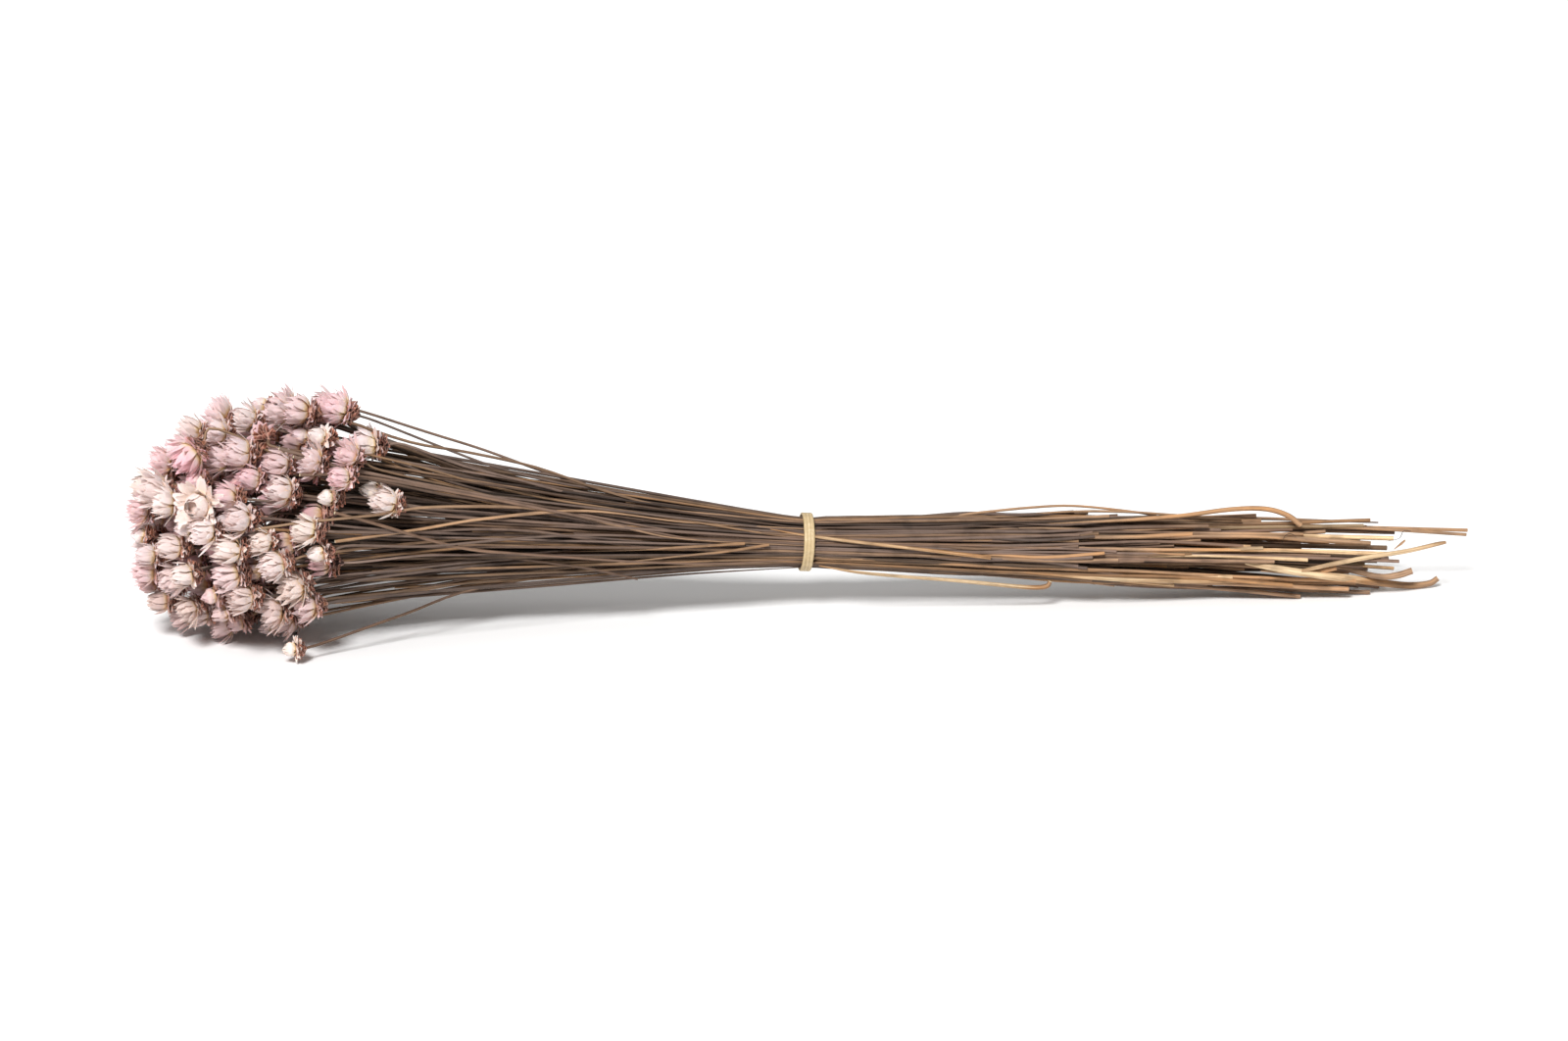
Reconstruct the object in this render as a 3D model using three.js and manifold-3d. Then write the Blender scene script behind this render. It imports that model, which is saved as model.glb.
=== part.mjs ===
// A bunch of dried glixia (star flowers) lying on its side, tied at the middle with a rubber band.
// Millimetres, +Z up. The flower heads point to -X and the cut stem ends to +X. The origin is on the
// surface that the bunch lies on, under the middle of its bounding box.
//
// The bunch is first laid out round its centre line, with x = 0 at the band. A place round the line is
// an angle, 0 facing the front (-Y) and 90 facing up, and a radius.
import * as THREE from "three";
import Module from "manifold-3d";

const wasm = await Module();
wasm.setup();

// Centre line of the bunch above the surface
const BAND_HEIGHT = 27; // at the band
const RISE_TO_HEADS = 0.094; // mm up per mm towards the heads
const FALL_TO_ENDS = 0.06; // mm down per mm towards the cut ends

// Rubber band
const BAND_INNER_RADIUS = 10;
const BAND_THICKNESS = 0.8;
const BAND_WIDTH = 4;
const BAND_TILT = 3; // degrees, its top towards the cut ends
const BAND_SIDES = 32;

// Ball of flower heads: a round front with a straight skirt behind it, leaning back at the top
const SPIRAL_HEADS = 96;
const BALL_RADIUS = 40.5; // to the middle of the crowns
const BALL_CENTRE_X = -204; // centre of the round front
const BALL_SKIRT = 26; // length of the straight part
const BALL_LEAN = 0.28; // mm towards the band per mm of height
const GOLDEN_ANGLE = 137.508; // degrees between one head and the next
const BALL_TIP_RADIUS = 2; // that the heads at its tip keep from the centre line
const RAGGED_ALONG = 1; // how unevenly the heads follow each other along the ball's outline
const RAGGED_X = 2; // how unevenly they stand out of it, along the bunch
const RAGGED_RADIUS = 2.5; // and across
const HEAD_NOD = 0.22; // how far a head nods off its stem's line, as a slope

// One head: the crown of pale bracts sits in a calyx of brown scales at the end of the stem.
// Lengths run along the head from the seat of the crown, forwards to the petal tips.
const CROWN_PETALS = 7; // in each of its two layers
const CROWN_SEAT = 0.3;
const CROWN_CENTRE = 3.5;
const OUTER_PETAL = { tipRadius: 6, tip: 4, notchRadius: 3.9, notch: 1.7 };
const INNER_PETAL = { tipRadius: 4.4, tip: 9, notchRadius: 3.5, notch: 6 };
const CROWN_LOWEST = 0.9; // that a petal may bend back to
const CROWN_DOME = 7;
const CALYX_SCALES = 5;
const CALYX_BACK = -5; // where the stem runs into it
const CALYX_CENTRE = -2;
const CALYX_SCALE = { tipRadius: 4.9, tip: 0.5, notchRadius: 3.4, notch: -0.4 };
const CALYX_CUP = -0.1;
const CROWN_REACH = 6; // radius that a crown claims against its neighbours
const CALYX_REACH = 4.9;
const LEAST_REACH = 0.6; // that is always left to a crown or a calyx
const LEAN_DEPTH = 0.8; // how far short of its partner's middle a leaning petal ends
// Which crowns of a pair lean into the other, and how far the second is turned round, in half petals
const LEANINGS = [[true, true], [true, false], [false, true]];
const TURNS = [0, 1, 0.5];
const FLOOR_REACH = 5.6; // height that the middle of a crown keeps above the surface

// Stems
const STEM_SIDES = 3;
const HEAD_STEM_RADIUS = 0.65; // just under the calyx
const BAND_STEM_RADIUS = 0.78;
const END_STEM_RADIUS = 1.1; // at the cut end
const BAND_SLOT_RADIUS = 8.9; // the outermost stem's place under the band
const CUT_ENDS = { from: 140, to: 222, power: 1.4 }; // where they lie, more of them at the near end
const STEM_WANDER = 0.15; // how far a stem wanders sideways behind the band
const END_SPREAD = 0.38; // how much the bunch widens over SPREAD_LENGTH behind the band
const SPREAD_LENGTH = 174;
const OUTER_SPREAD_POWER = 1.8; // how late the stems spread towards the rim of the ball
const INNER_SPREAD_POWER = 2.5; // and towards its tip
const SPREAD_STEPS = [0.36, 0.7, 1]; // rings between the band and the head
const END_STEPS = [1, 0.5]; // rings between the cut end and the band

// Three sectors of stems, each pressed together under the band into one body
const SECTORS = 3;
const SECTOR_ANGLE = 360 / SECTORS;
const SECTOR_MARGIN = 0.95; // from a stem's line to the sector's side
const END_SECTOR_MARGIN = 1.09; // the same behind the band
const PRESSED = { half: 8, inset: 0.5, inner: 0.3, outer: 8.7, clear: 0.18, steps: 6 };
const SLOT_GAP = 1.5; // between the lines of two stems under the band
const SLOT_ROUNDS = 60;

// Packing of the heads
const CLEAR = 0.17; // each of two neighbours keeps this from the plane between them
const HEAD_GAP = 11.2; // between the middles of two crowns
const PARTNER_GAP = 9.8; // between those of a pair that holds together
const SINGLE_HEADS = 6; // left without a partner
const CROWN_TO_CALYX = 9;
const STEM_TO_HEAD = 5.4; // from the middle of a crown or calyx to a passing stem
const NEIGHBOUR_REACH = 20; // how near another head has to be to get in the way
const PASSING_REACH = 12; // how far behind a crown the head of a passing stem may still be
const LOOSE_ROUNDS = 10; // of settling before the heads are paired up
const PACKING_ROUNDS = 30; // and after
const MISMATCH_POWER = 3; // makes one far couple worse than several that are a little apart

// Heads that stand out of the ball, by hand: x along the bunch, angle and radius round its centre line
const STAND_OUT_HEADS = [
  { x: -153, angle: 32, radius: 30, power: 1.9, nod: [0, 0.06] },
  { x: -167, angle: 37, radius: 31, power: 2.1, nod: [0, 0.02] },
  { x: -163, angle: 70, radius: 34, power: 1.7, nod: [-0.1, -0.25] },
  { x: -176, angle: 97, radius: 40.5, power: 1.6, nod: [0.1, 0.3] },
  { x: -226, angle: 20, radius: 37, power: 1.9, nod: [-1.6, 0.1] }, // faces the front
  { x: -228, angle: 53, radius: 35, power: 1.9, nod: [-0.5, -0.35] },
];
// The flower that has dropped out of the ball and lies in front of it: the way of its stem
const DROPPED_STEM = [
  [-179, -31, 6.2],
  [-150, -21, 12.2],
  [-121, -11, 17.9],
  [-66, -5.6, 22],
];
const DROPPED_HEAD = { at: [-194.5, -36.5, 5.7], ahead: [-1, -0.2, 0.02], angle: -62 };

// Longer, bent and curled stems behind the band: angle under the band, where they leave the others,
// and their own way from there, with the radius at the end
const STRAY_STEMS = [
  {
    angle: 98,
    leaves: 50,
    radius: 0.8,
    way: [[83, 2, 36.4], [100, 2, 36.5], [119, 2, 33.8], [131, 2, 31.5]],
  },
  {
    angle: 72,
    leaves: 130,
    radius: 1.2,
    way: [[157, -4, 34.7], [171, -4.5, 34.7], [179, -4.6, 32.2], [184, -5, 28.4]],
  },
  { angle: 102, leaves: 165, radius: 1, way: [[210, 2, 23.7], [248.4, 2, 21.2]] },
  { angle: 84, leaves: 165, radius: 0.9, way: [[210, -0.9, 24.3], [247.4, -0.9, 20.7]] },
  { angle: 112, leaves: 160, radius: 0.7, way: [[192, 4.2, 26.5], [215, 4.2, 24.8]] },
  { angle: 42, leaves: 160, radius: 1.1, way: [[187, -9, 23.2], [208, -9, 21.3]] },
  {
    angle: -14,
    leaves: 150,
    radius: 1.2,
    way: [[183, -12, 12.5], [209, -12, 16.9], [223, -12, 18.6], [236, -12, 20.8]],
  },
  {
    angle: -32,
    leaves: 165,
    radius: 1.3,
    way: [[198, -9, 11.7], [212, -9, 8.1], [220, -9, 8.2], [225.5, -9, 9.8]],
  },
  { angle: -50, leaves: 40, radius: 1.2, way: [[74.5, -9, 8.8], [82, -9, 7.6], [89, -9, 9.4]] },
  { angle: -107, leaves: 120, radius: 1.2, way: [[166, 4, 4.2], [186, 4.5, 1.2]] },
  { angle: -95, leaves: 150, radius: 0.8, way: [[200, 2.6, 2.4], [217, 2.8, 0.9]] },
];
// The leaf sheath that the cut ends rest on: a strap with a flat underside on the surface
const REST_SHEATH = { angle: -74, leaves: 120, radius: 1 };
const SHEATH_SECTION = { halfWidth: 1.6, thickness: 2, top: 0.8 }; // top: its share of the width
const SHEATH_STEM_SECTION = { halfWidth: 0.6, thickness: 1.2, top: 0.8 };
const REST_SHEATH_WAY = [
  [165, -1.9, 6.6],
  [191, -2.2, 5],
  [209, -1.8, 1.6],
  [215, -1.4, 0],
  [230, -1, 0],
  [236.5, -1, 2.6],
];

const SLIVER = 0.02; // mm, the finest detail kept where pieces cross
const NOTHING = 1e-6;
const DEGREES = Math.PI / 180;
const FLOOR_NORMAL = new THREE.Vector3(0, 0, -1);
// What a chance is drawn for. A stem's wander has one draw for each of its END_STEPS.
const DRAWS = { along: 1, x: 2, radius: 3, nodY: 4, nodZ: 5, wanderY: 6, wanderZ: 8, cutEnd: 10 };
const HASH = { index: 12.9898, draw: 78.233, start: 0.5, scale: 43758.5453 };

// A number from 0 to 1 that is always the same for the same head and draw.
function chance(index, draw) {
  const wave = Math.sin(HASH.index * index + HASH.draw * draw + HASH.start) * HASH.scale;
  return wave - Math.floor(wave);
}

// The same from -1 to 1.
function jitter(index, draw) {
  return 2 * chance(index, draw) - 1;
}

function axisHeight(x) {
  return BAND_HEIGHT + (x < 0 ? -x * RISE_TO_HEADS : -x * FALL_TO_ENDS);
}

// A point's offset from the centre line, as [y, z].
function offsetOf(point) {
  return [point.y, point.z - axisHeight(point.x)];
}

// The offset at an angle and a radius.
function offsetAt(angle, radius) {
  return [-radius * Math.cos(angle * DEGREES), radius * Math.sin(angle * DEGREES)];
}

// The point at x with an offset from the centre line.
function pointAt(x, [y, z]) {
  return new THREE.Vector3(x, y, z + axisHeight(x));
}

function sectorOf([y, z]) {
  const angle = Math.atan2(z, -y) / DEGREES;
  return Math.floor(((angle + SECTOR_ANGLE / 2 + 360) % 360) / SECTOR_ANGLE) % SECTORS;
}

// Moves an offset so that it keeps the margin to both sides of its sector.
function keepInSector([y, z], sector, margin) {
  for (const turn of [-1, 1]) {
    const inwards = ((sector + turn / 2) * SECTOR_ANGLE - turn * 90) * DEGREES;
    const normal = [-Math.cos(inwards), Math.sin(inwards)];
    const missing = Math.max(0, margin - y * normal[0] - z * normal[1]);
    y += normal[0] * missing;
    z += normal[1] * missing;
  }
  return [y, z];
}

// Moves an offset towards the centre line until it is no further out than the radius.
function keepWithin([y, z], radius) {
  const fit = Math.min(1, radius / Math.hypot(y, z));
  return [y * fit, z * fit];
}

// Crown centre of one of the ball's heads: a golden-angle spiral from the tip to the rim, evenly spread.
function spiralHead(index) {
  const share = (index + 0.5) / SPIRAL_HEADS;
  const even = share * (BALL_RADIUS + BALL_SKIRT);
  const along = Math.max(0, even + jitter(index, DRAWS.along) * RAGGED_ALONG);
  const slice = Math.max(0, 1 - along / BALL_RADIUS);
  const smooth = BALL_RADIUS * Math.sqrt(1 - slice * slice);
  const radius = Math.max(BALL_TIP_RADIUS, smooth + jitter(index, DRAWS.radius) * RAGGED_RADIUS);
  const x = BALL_CENTRE_X - BALL_RADIUS + along + jitter(index, DRAWS.x) * RAGGED_X;
  const angle = index * GOLDEN_ANGLE;
  const offset = offsetAt(angle, radius);
  const crown = pointAt(x, offset);
  crown.x += offset[1] * BALL_LEAN;
  return {
    crown,
    slotAngle: angle,
    slotRadius: BAND_SLOT_RADIUS * Math.sqrt(share),
    power: INNER_SPREAD_POWER + (OUTER_SPREAD_POWER - INNER_SPREAD_POWER) * share,
    nod: [jitter(index, DRAWS.nodY) * HEAD_NOD, jitter(index, DRAWS.nodZ) * HEAD_NOD],
  };
}

function standOutHead({ x, angle, radius, power, nod }) {
  return {
    crown: pointAt(x, offsetAt(angle, radius)),
    slotAngle: angle,
    slotRadius: BAND_SLOT_RADIUS,
    power,
    nod,
    placed: true,
  };
}

// The stem's offset from the centre line at x, between the band and the head.
function stemOffset(flower, x) {
  const share = Math.min(1, Math.max(0, x / flower.foot.x)) ** flower.power;
  const [y, z] = offsetOf(flower.foot);
  return [
    flower.slot[0] + (y - flower.slot[0]) * share,
    flower.slot[1] + (z - flower.slot[1]) * share,
  ];
}

// Works out from a flower's crown and the way it faces where its seat, its calyx and its foot are.
function seatHead(flower) {
  flower.seat = flower.crown.clone().addScaledVector(flower.facing, -CROWN_CENTRE);
  flower.calyx = flower.seat.clone().addScaledVector(flower.facing, CALYX_CENTRE);
  flower.foot = flower.seat.clone().addScaledVector(flower.facing, CALYX_BACK);
}

// Turns a flower the way its stem runs into it, but for its nod.
function pose(flower) {
  const [y, z] = offsetOf(flower.crown);
  const steep = flower.power / -flower.crown.x;
  flower.facing = new THREE.Vector3(
    -1,
    (y - flower.slot[0]) * steep + flower.nod[0],
    (z - flower.slot[1]) * steep + RISE_TO_HEADS + flower.nod[1],
  ).normalize();
  seatHead(flower);
}

function layOutFlowers() {
  const flowers = [];
  for (let i = 0; i < SPIRAL_HEADS; i++) flowers.push(spiralHead(i));
  for (const head of STAND_OUT_HEADS) flowers.push(standOutHead(head));
  for (const flower of flowers) {
    const slot = offsetAt(flower.slotAngle, flower.slotRadius);
    flower.sector = sectorOf(slot);
    flower.slot = keepInSector(slot, flower.sector, SECTOR_MARGIN);
  }
  spaceSlots(flowers);
  flowers.forEach(pose);
  return flowers;
}

// Spaces the stems evenly under the band, each within its own sector.
function spaceSlots(flowers) {
  for (let round = 0; round < SLOT_ROUNDS; round++) {
    for (let i = 0; i < flowers.length; i++)
      for (let j = i + 1; j < flowers.length; j++) {
        const [a, b] = [flowers[i].slot, flowers[j].slot];
        const [dy, dz] = [b[0] - a[0], b[1] - a[1]];
        const distance = Math.max(NOTHING, Math.hypot(dy, dz));
        if (distance >= SLOT_GAP) continue;
        const push = (0.5 * (SLOT_GAP - distance)) / distance;
        flowers[i].slot = [a[0] - dy * push, a[1] - dz * push];
        flowers[j].slot = [b[0] + dy * push, b[1] + dz * push];
      }
    for (const flower of flowers) {
      const sided = keepInSector(flower.slot, flower.sector, SECTOR_MARGIN);
      flower.slot = keepWithin(sided, BAND_SLOT_RADIUS);
    }
  }
}

// Moves two flowers apart (or together, for a negative push) along a direction.
function part(a, b, direction, push) {
  const shares = a.placed === b.placed ? [0.5, 0.5] : a.placed ? [0, 1] : [1, 0];
  a.crown.addScaledVector(direction, -push * shares[0]);
  b.crown.addScaledVector(direction, push * shares[1]);
}

function spread(a, b, from, to, gap) {
  const direction = to.clone().sub(from);
  const distance = direction.length();
  if (distance >= gap || distance < NOTHING) return;
  part(a, b, direction.divideScalar(distance), (gap - distance) / 2);
}

// Lets the heads settle: crowns, calyxes and passing stems push each other apart, and partners close up.
function settle(flowers, rounds) {
  for (let round = 0; round < rounds; round++) {
    for (const a of flowers)
      for (const b of flowers) {
        if (a === b) continue;
        spread(a, b, a.crown, b.calyx, CROWN_TO_CALYX);
        const middles = [a.calyx, a.crown];
        if (a.partner && a.partner !== b) middles.push(a.crown.clone().lerp(a.partner.crown, 0.5));
        for (const middle of middles) {
          if (b.foot.x > middle.x) continue;
          spread(b, a, pointAt(middle.x, stemOffset(b, middle.x)), middle, STEM_TO_HEAD);
        }
      }
    for (let i = 0; i < flowers.length; i++)
      for (let j = i + 1; j < flowers.length; j++) {
        const [a, b] = [flowers[i], flowers[j]];
        const together = a.partner === b;
        spread(a, b, a.crown, b.crown, together ? PARTNER_GAP : HEAD_GAP);
        const distance = a.crown.distanceTo(b.crown);
        if (together && distance > PARTNER_GAP) {
          const direction = b.crown.clone().sub(a.crown).divideScalar(distance);
          part(a, b, direction, (PARTNER_GAP - distance) / 2);
        }
      }
    for (const flower of flowers) {
      const sided = keepInSector(offsetOf(flower.crown), flower.sector, SECTOR_MARGIN);
      const [y, z] = keepWithin(sided, BALL_RADIUS + RAGGED_RADIUS);
      flower.crown.y = y;
      flower.crown.z = Math.max(z + axisHeight(flower.crown.x), FLOOR_REACH);
      pose(flower);
    }
  }
}

// How badly two heads suit each other as partners: those that stand close side by side hold together best.
function mismatch(a, b) {
  if (!a || !b) return a || b ? 0 : Infinity;
  const between = b.crown.clone().sub(a.crown);
  const distance = between.length() + Math.abs(between.dot(a.facing)) + Math.abs(between.dot(b.facing));
  return distance ** MISMATCH_POWER;
}

// Couples the heads, all but a few, then lets any two couples swap partners while that suits them better.
function pairUp(flowers) {
  const singles = flowers.slice(0, SINGLE_HEADS).map((flower) => [flower, null]);
  const rest = flowers.slice(SINGLE_HEADS);
  const couples = rest.filter((_, k) => k % 2 === 0).map((flower, k) => [flower, rest[2 * k + 1]]);
  const all = [...couples, ...singles];
  let swapped = true;
  while (swapped) {
    swapped = false;
    for (let i = 0; i < all.length; i++)
      for (let j = i + 1; j < all.length; j++) {
        const [a, b, c, d] = [...all[i], ...all[j]];
        const now = mismatch(a, b) + mismatch(c, d);
        for (const [p, q, r, s] of [[a, c, b, d], [a, d, b, c]])
          if (mismatch(p, q) + mismatch(r, s) < now - NOTHING) {
            [all[i], all[j]] = [[p, q], [r, s]];
            swapped = true;
            break;
          }
      }
  }
  for (const [a, b] of all) if (a && b) [a.partner, b.partner] = [b, a];
}

// A closed solid from rings of points, each ring running the same way round. A ring of one point is a tip.
function ringSolid(rings) {
  const points = [];
  const triangles = [];
  const starts = rings.map((ring) => {
    points.push(...ring);
    return points.length - ring.length;
  });
  for (let r = 0; r + 1 < rings.length; r++) {
    const [countA, countB] = [rings[r].length, rings[r + 1].length];
    const a = (k) => starts[r] + (k % countA);
    const b = (k) => starts[r + 1] + (k % countB);
    let [i, j] = [0, 0];
    while (i < countA || j < countB) {
      const stepA = j >= countB || (i < countA && (i + 1) / countA <= (j + 1) / countB);
      if (stepA) {
        if (countA > 1) triangles.push([a(i), a(i + 1), b(j)]);
        i++;
      } else {
        if (countB > 1) triangles.push([a(i), b(j + 1), b(j)]);
        j++;
      }
    }
  }
  const close = (ring, start, turned) => {
    for (let k = 1; k + 1 < ring.length; k++)
      triangles.push(turned ? [start, start + k + 1, start + k] : [start, start + k, start + k + 1]);
  };
  close(rings[0], starts[0], true);
  close(rings[rings.length - 1], starts[starts.length - 1], false);
  const made = solidOf(points, triangles);
  if (made.volume() > 0) return made;
  return solidOf(
    points,
    triangles.map(([p, q, s]) => [p, s, q]),
  );
}

function solidOf(points, triangles) {
  const mesh = new wasm.Mesh({
    numProp: 3,
    vertProperties: new Float32Array(points.flatMap((p) => p.toArray())),
    triVerts: new Uint32Array(triangles.flat()),
  });
  return new wasm.Manifold(mesh);
}

// Two directions across a third.
function across(direction) {
  const side = new THREE.Vector3(0, 0, 1).cross(direction).normalize();
  return [side, direction.clone().cross(side)];
}

function ring(centre, direction, count, radiusOf, forwardOf, turn = 0) {
  const [u, v] = across(direction);
  return Array.from({ length: count }, (_, k) => {
    const angle = ((k + turn) / count) * 2 * Math.PI;
    return centre
      .clone()
      .addScaledVector(direction, forwardOf(k))
      .addScaledVector(u, Math.cos(angle) * radiusOf(k))
      .addScaledVector(v, Math.sin(angle) * radiusOf(k));
  });
}

// A ring whose points are petal tips and the notches between them in turn.
function toothedRing(centre, direction, teeth, shape, tipsFirst, turn) {
  const isTip = (k) => (k % 2 === 0) === tipsFirst;
  return ring(
    centre,
    direction,
    2 * teeth,
    (k) => (isTip(k) ? shape.tipRadius : shape.notchRadius),
    (k) => (isTip(k) ? shape.tip : shape.notch),
    turn,
  );
}

// Draws a point in towards the centre until it is inside every plane.
function drawIn(point, centre, planes) {
  const ray = point.clone().sub(centre);
  let share = 1;
  for (const { normal, limit } of planes) {
    const reach = normal.dot(ray);
    if (reach > limit) share = Math.min(share, limit / reach);
  }
  return centre.clone().addScaledVector(ray, share);
}

// The plane between a body round `centre` and an obstacle at `other`, nearer to the smaller of the two.
// It also leaves out the foot of the obstacle, where its stem begins.
function planeBetween(centre, other, reach, otherReach, foot = other) {
  const normal = other.clone().sub(centre);
  const distance = normal.length();
  normal.divideScalar(distance);
  const middle = (distance * reach) / (reach + otherReach) - CLEAR;
  const beforeFoot = foot.clone().sub(centre).dot(normal) - HEAD_STEM_RADIUS - 2 * CLEAR;
  return { normal, limit: Math.max(LEAST_REACH, Math.min(middle, beforeFoot)) };
}

// The plane that keeps a body clear of a stem passing by.
function planeToStem(centre, rings) {
  let nearest = null;
  let least = Infinity;
  for (let k = 0; k + 1 < rings.length; k++) {
    const line = new THREE.Line3(rings[k].at, rings[k + 1].at);
    const point = line.closestPointToPoint(centre, true, new THREE.Vector3());
    const distance = point.distanceTo(centre);
    if (distance < least) [least, nearest] = [distance, point];
  }
  const normal = nearest.clone().sub(centre).normalize();
  return { normal, limit: Math.max(LEAST_REACH, least - BAND_STEM_RADIUS - 2 * CLEAR) };
}

// The planes that a crown or calyx keeps inside. It reaches back from its centre no further than `behind`,
// and may touch the pieces of its own node.
function planesRound(flower, { centre, reach, behind, sameNode }, flowers) {
  const passing = flowers.filter((o) => o !== flower && o.foot.x < flower.crown.x + PASSING_REACH);
  const planes = [
    { normal: FLOOR_NORMAL, limit: centre.z },
    { normal: flower.facing.clone().negate(), limit: behind },
  ];
  for (const other of flowers) {
    if (other === flower) continue;
    if (centre.distanceTo(other.crown) < NEIGHBOUR_REACH && !sameNode(other, "crown"))
      planes.push(planeBetween(centre, other.crown, reach, CROWN_REACH));
    if (centre.distanceTo(other.calyx) < NEIGHBOUR_REACH && !sameNode(other, "calyx"))
      planes.push(planeBetween(centre, other.calyx, reach, CALYX_REACH, other.foot));
  }
  for (const stem of passing) planes.push(planeToStem(centre, stem.rings));
  return planes;
}

// Rings of a stem between its cut end and its head, with the radius at each.
function stemRings(flower, endX) {
  const radiusAt = (x) =>
    x > 0
      ? BAND_STEM_RADIUS + (END_STEM_RADIUS - BAND_STEM_RADIUS) * (x / CUT_ENDS.to)
      : BAND_STEM_RADIUS + (HEAD_STEM_RADIUS - BAND_STEM_RADIUS) * (x / flower.foot.x);
  const rings = END_STEPS.map((share, step) => {
    const x = share * endX;
    const wander = [DRAWS.wanderY, DRAWS.wanderZ].map((d) => jitter(flower.number, d + step) * STEM_WANDER);
    return { at: behindBand(flower, x, wander), radius: radiusAt(x) };
  });
  rings.push({ at: behindBand(flower, PRESSED.half), radius: radiusAt(PRESSED.half) });
  rings.push({ at: pointAt(-PRESSED.half, flower.slot), radius: BAND_STEM_RADIUS });
  if (flower.way)
    for (const p of flower.way) rings.push({ at: new THREE.Vector3(...p), radius: radiusAt(p[0]) });
  else
    for (const share of SPREAD_STEPS.slice(0, -1)) {
      const x = flower.foot.x * share;
      const offset = keepInSector(stemOffset(flower, x), flower.sector, SECTOR_MARGIN);
      rings.push({ at: pointAt(x, offset), radius: radiusAt(x) });
    }
  rings.push({ at: flower.foot.clone(), radius: HEAD_STEM_RADIUS });
  return rings;
}

// A stem's point behind the band, where the bunch widens.
function behindBand({ slot, sector }, x, wander = [0, 0]) {
  const widen = 1 + (END_SPREAD * x) / SPREAD_LENGTH;
  const offset = [slot[0] * widen + wander[0], slot[1] * widen + wander[1]];
  const point = pointAt(x, keepInSector(offset, sector, END_SECTOR_MARGIN));
  return point.setZ(Math.max(point.z, END_STEM_RADIUS));
}

function stemSection({ at, radius }, direction) {
  return ring(at, direction, STEM_SIDES, () => radius, () => 0);
}

// Cross-sections along a list of rings, each square to the stem there.
function sweep(rings) {
  return rings.map((one, k) => {
    const before = rings[Math.max(0, k - 1)].at;
    const after = rings[Math.min(rings.length - 1, k + 1)].at;
    return stemSection(one, after.clone().sub(before).normalize());
  });
}

// A whole flower without its crown: the stem running into the calyx with its toothed cup of scales.
function stemWithCalyx(flower) {
  const { seat, facing } = flower;
  const planes = flower.calyxPlanes;
  const scales = toothedRing(seat, facing, CALYX_SCALES, CALYX_SCALE, true, 0);
  const cup = seat.clone().addScaledVector(facing, CALYX_CUP);
  const inside = (points) => points.map((p) => drawIn(p, flower.calyx, planes));
  return ringSolid([...sweep(flower.rings), inside(scales), [cup]]);
}

// The petal tip nearest to the partner's crown leans into it, so that the two hold together.
function leanInto(points, flower) {
  const towards = flower.partner.crown.clone().sub(flower.crown);
  const distance = towards.length();
  towards.divideScalar(distance);
  let nearest = points[0];
  let most = -Infinity;
  for (const point of points) {
    const facing = point.clone().sub(flower.crown).normalize().dot(towards);
    if (facing > most) [most, nearest] = [facing, point];
  }
  const tip = flower.crown.clone().addScaledVector(towards, distance - LEAN_DEPTH);
  nearest.copy(drawIn(tip, flower.crown, flower.crownPlanes));
}

// The crown: two layers of pointed petals round a low dome. It may lean into its partner's.
function crownSolid(flower, leans, turn) {
  const { seat, facing, crownPlanes } = flower;
  const inside = (points) => points.map((p) => drawIn(p, flower.crown, crownPlanes));
  const base = [seat.clone().addScaledVector(facing, CROWN_SEAT)];
  const outer = inside(toothedRing(seat, facing, CROWN_PETALS, OUTER_PETAL, true, turn));
  const inner = inside(toothedRing(seat, facing, CROWN_PETALS, INNER_PETAL, false, turn));
  const dome = inside([seat.clone().addScaledVector(facing, CROWN_DOME)]);
  if (leans) {
    const tips = [...outer.filter((_, k) => k % 2 === 0), ...inner.filter((_, k) => k % 2 === 1)];
    leanInto(tips, flower);
  }
  return ringSolid([base, outer, inner, dome]);
}

// The crown or pair of crowns of one node. A pair holds together at one place: where the petals of both
// would meet at two and leave a hole between them, one of the two doesn't lean, or is turned a little.
function headSolid(flower) {
  const { partner } = flower;
  if (!partner) return crownSolid(flower, false, 0);
  for (const turn of TURNS)
    for (const [leans, partnerLeans] of LEANINGS) {
      const joined = fuse([crownSolid(flower, leans, 0), crownSolid(partner, partnerLeans, turn)]);
      if (joined.genus() === 0 && joined.decompose().length === 1) return joined;
    }
  throw new Error(`heads ${flower.number} and ${partner.number} don't hold together`);
}

// The part of a sector's stems that the band presses into one body.
function pressedCore(sector) {
  const middle = sector * SECTOR_ANGLE;
  const half = SECTOR_ANGLE / 2;
  const section = (x) => {
    const corner = (angle, radius) =>
      pointAt(x, keepInSector(offsetAt(angle, radius), sector, PRESSED.clear));
    const arc = Array.from({ length: PRESSED.steps + 1 }, (_, k) =>
      corner(middle - half + (k / PRESSED.steps) * SECTOR_ANGLE, PRESSED.outer),
    );
    return [corner(middle, PRESSED.inner), ...arc];
  };
  const end = PRESSED.half - PRESSED.inset;
  return ringSolid([section(-end), section(end)]);
}

// The sector whose stems a stray stem lies among.
function strayRoot({ angle }) {
  return sectorOf(offsetAt(angle, BAND_SLOT_RADIUS));
}

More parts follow.
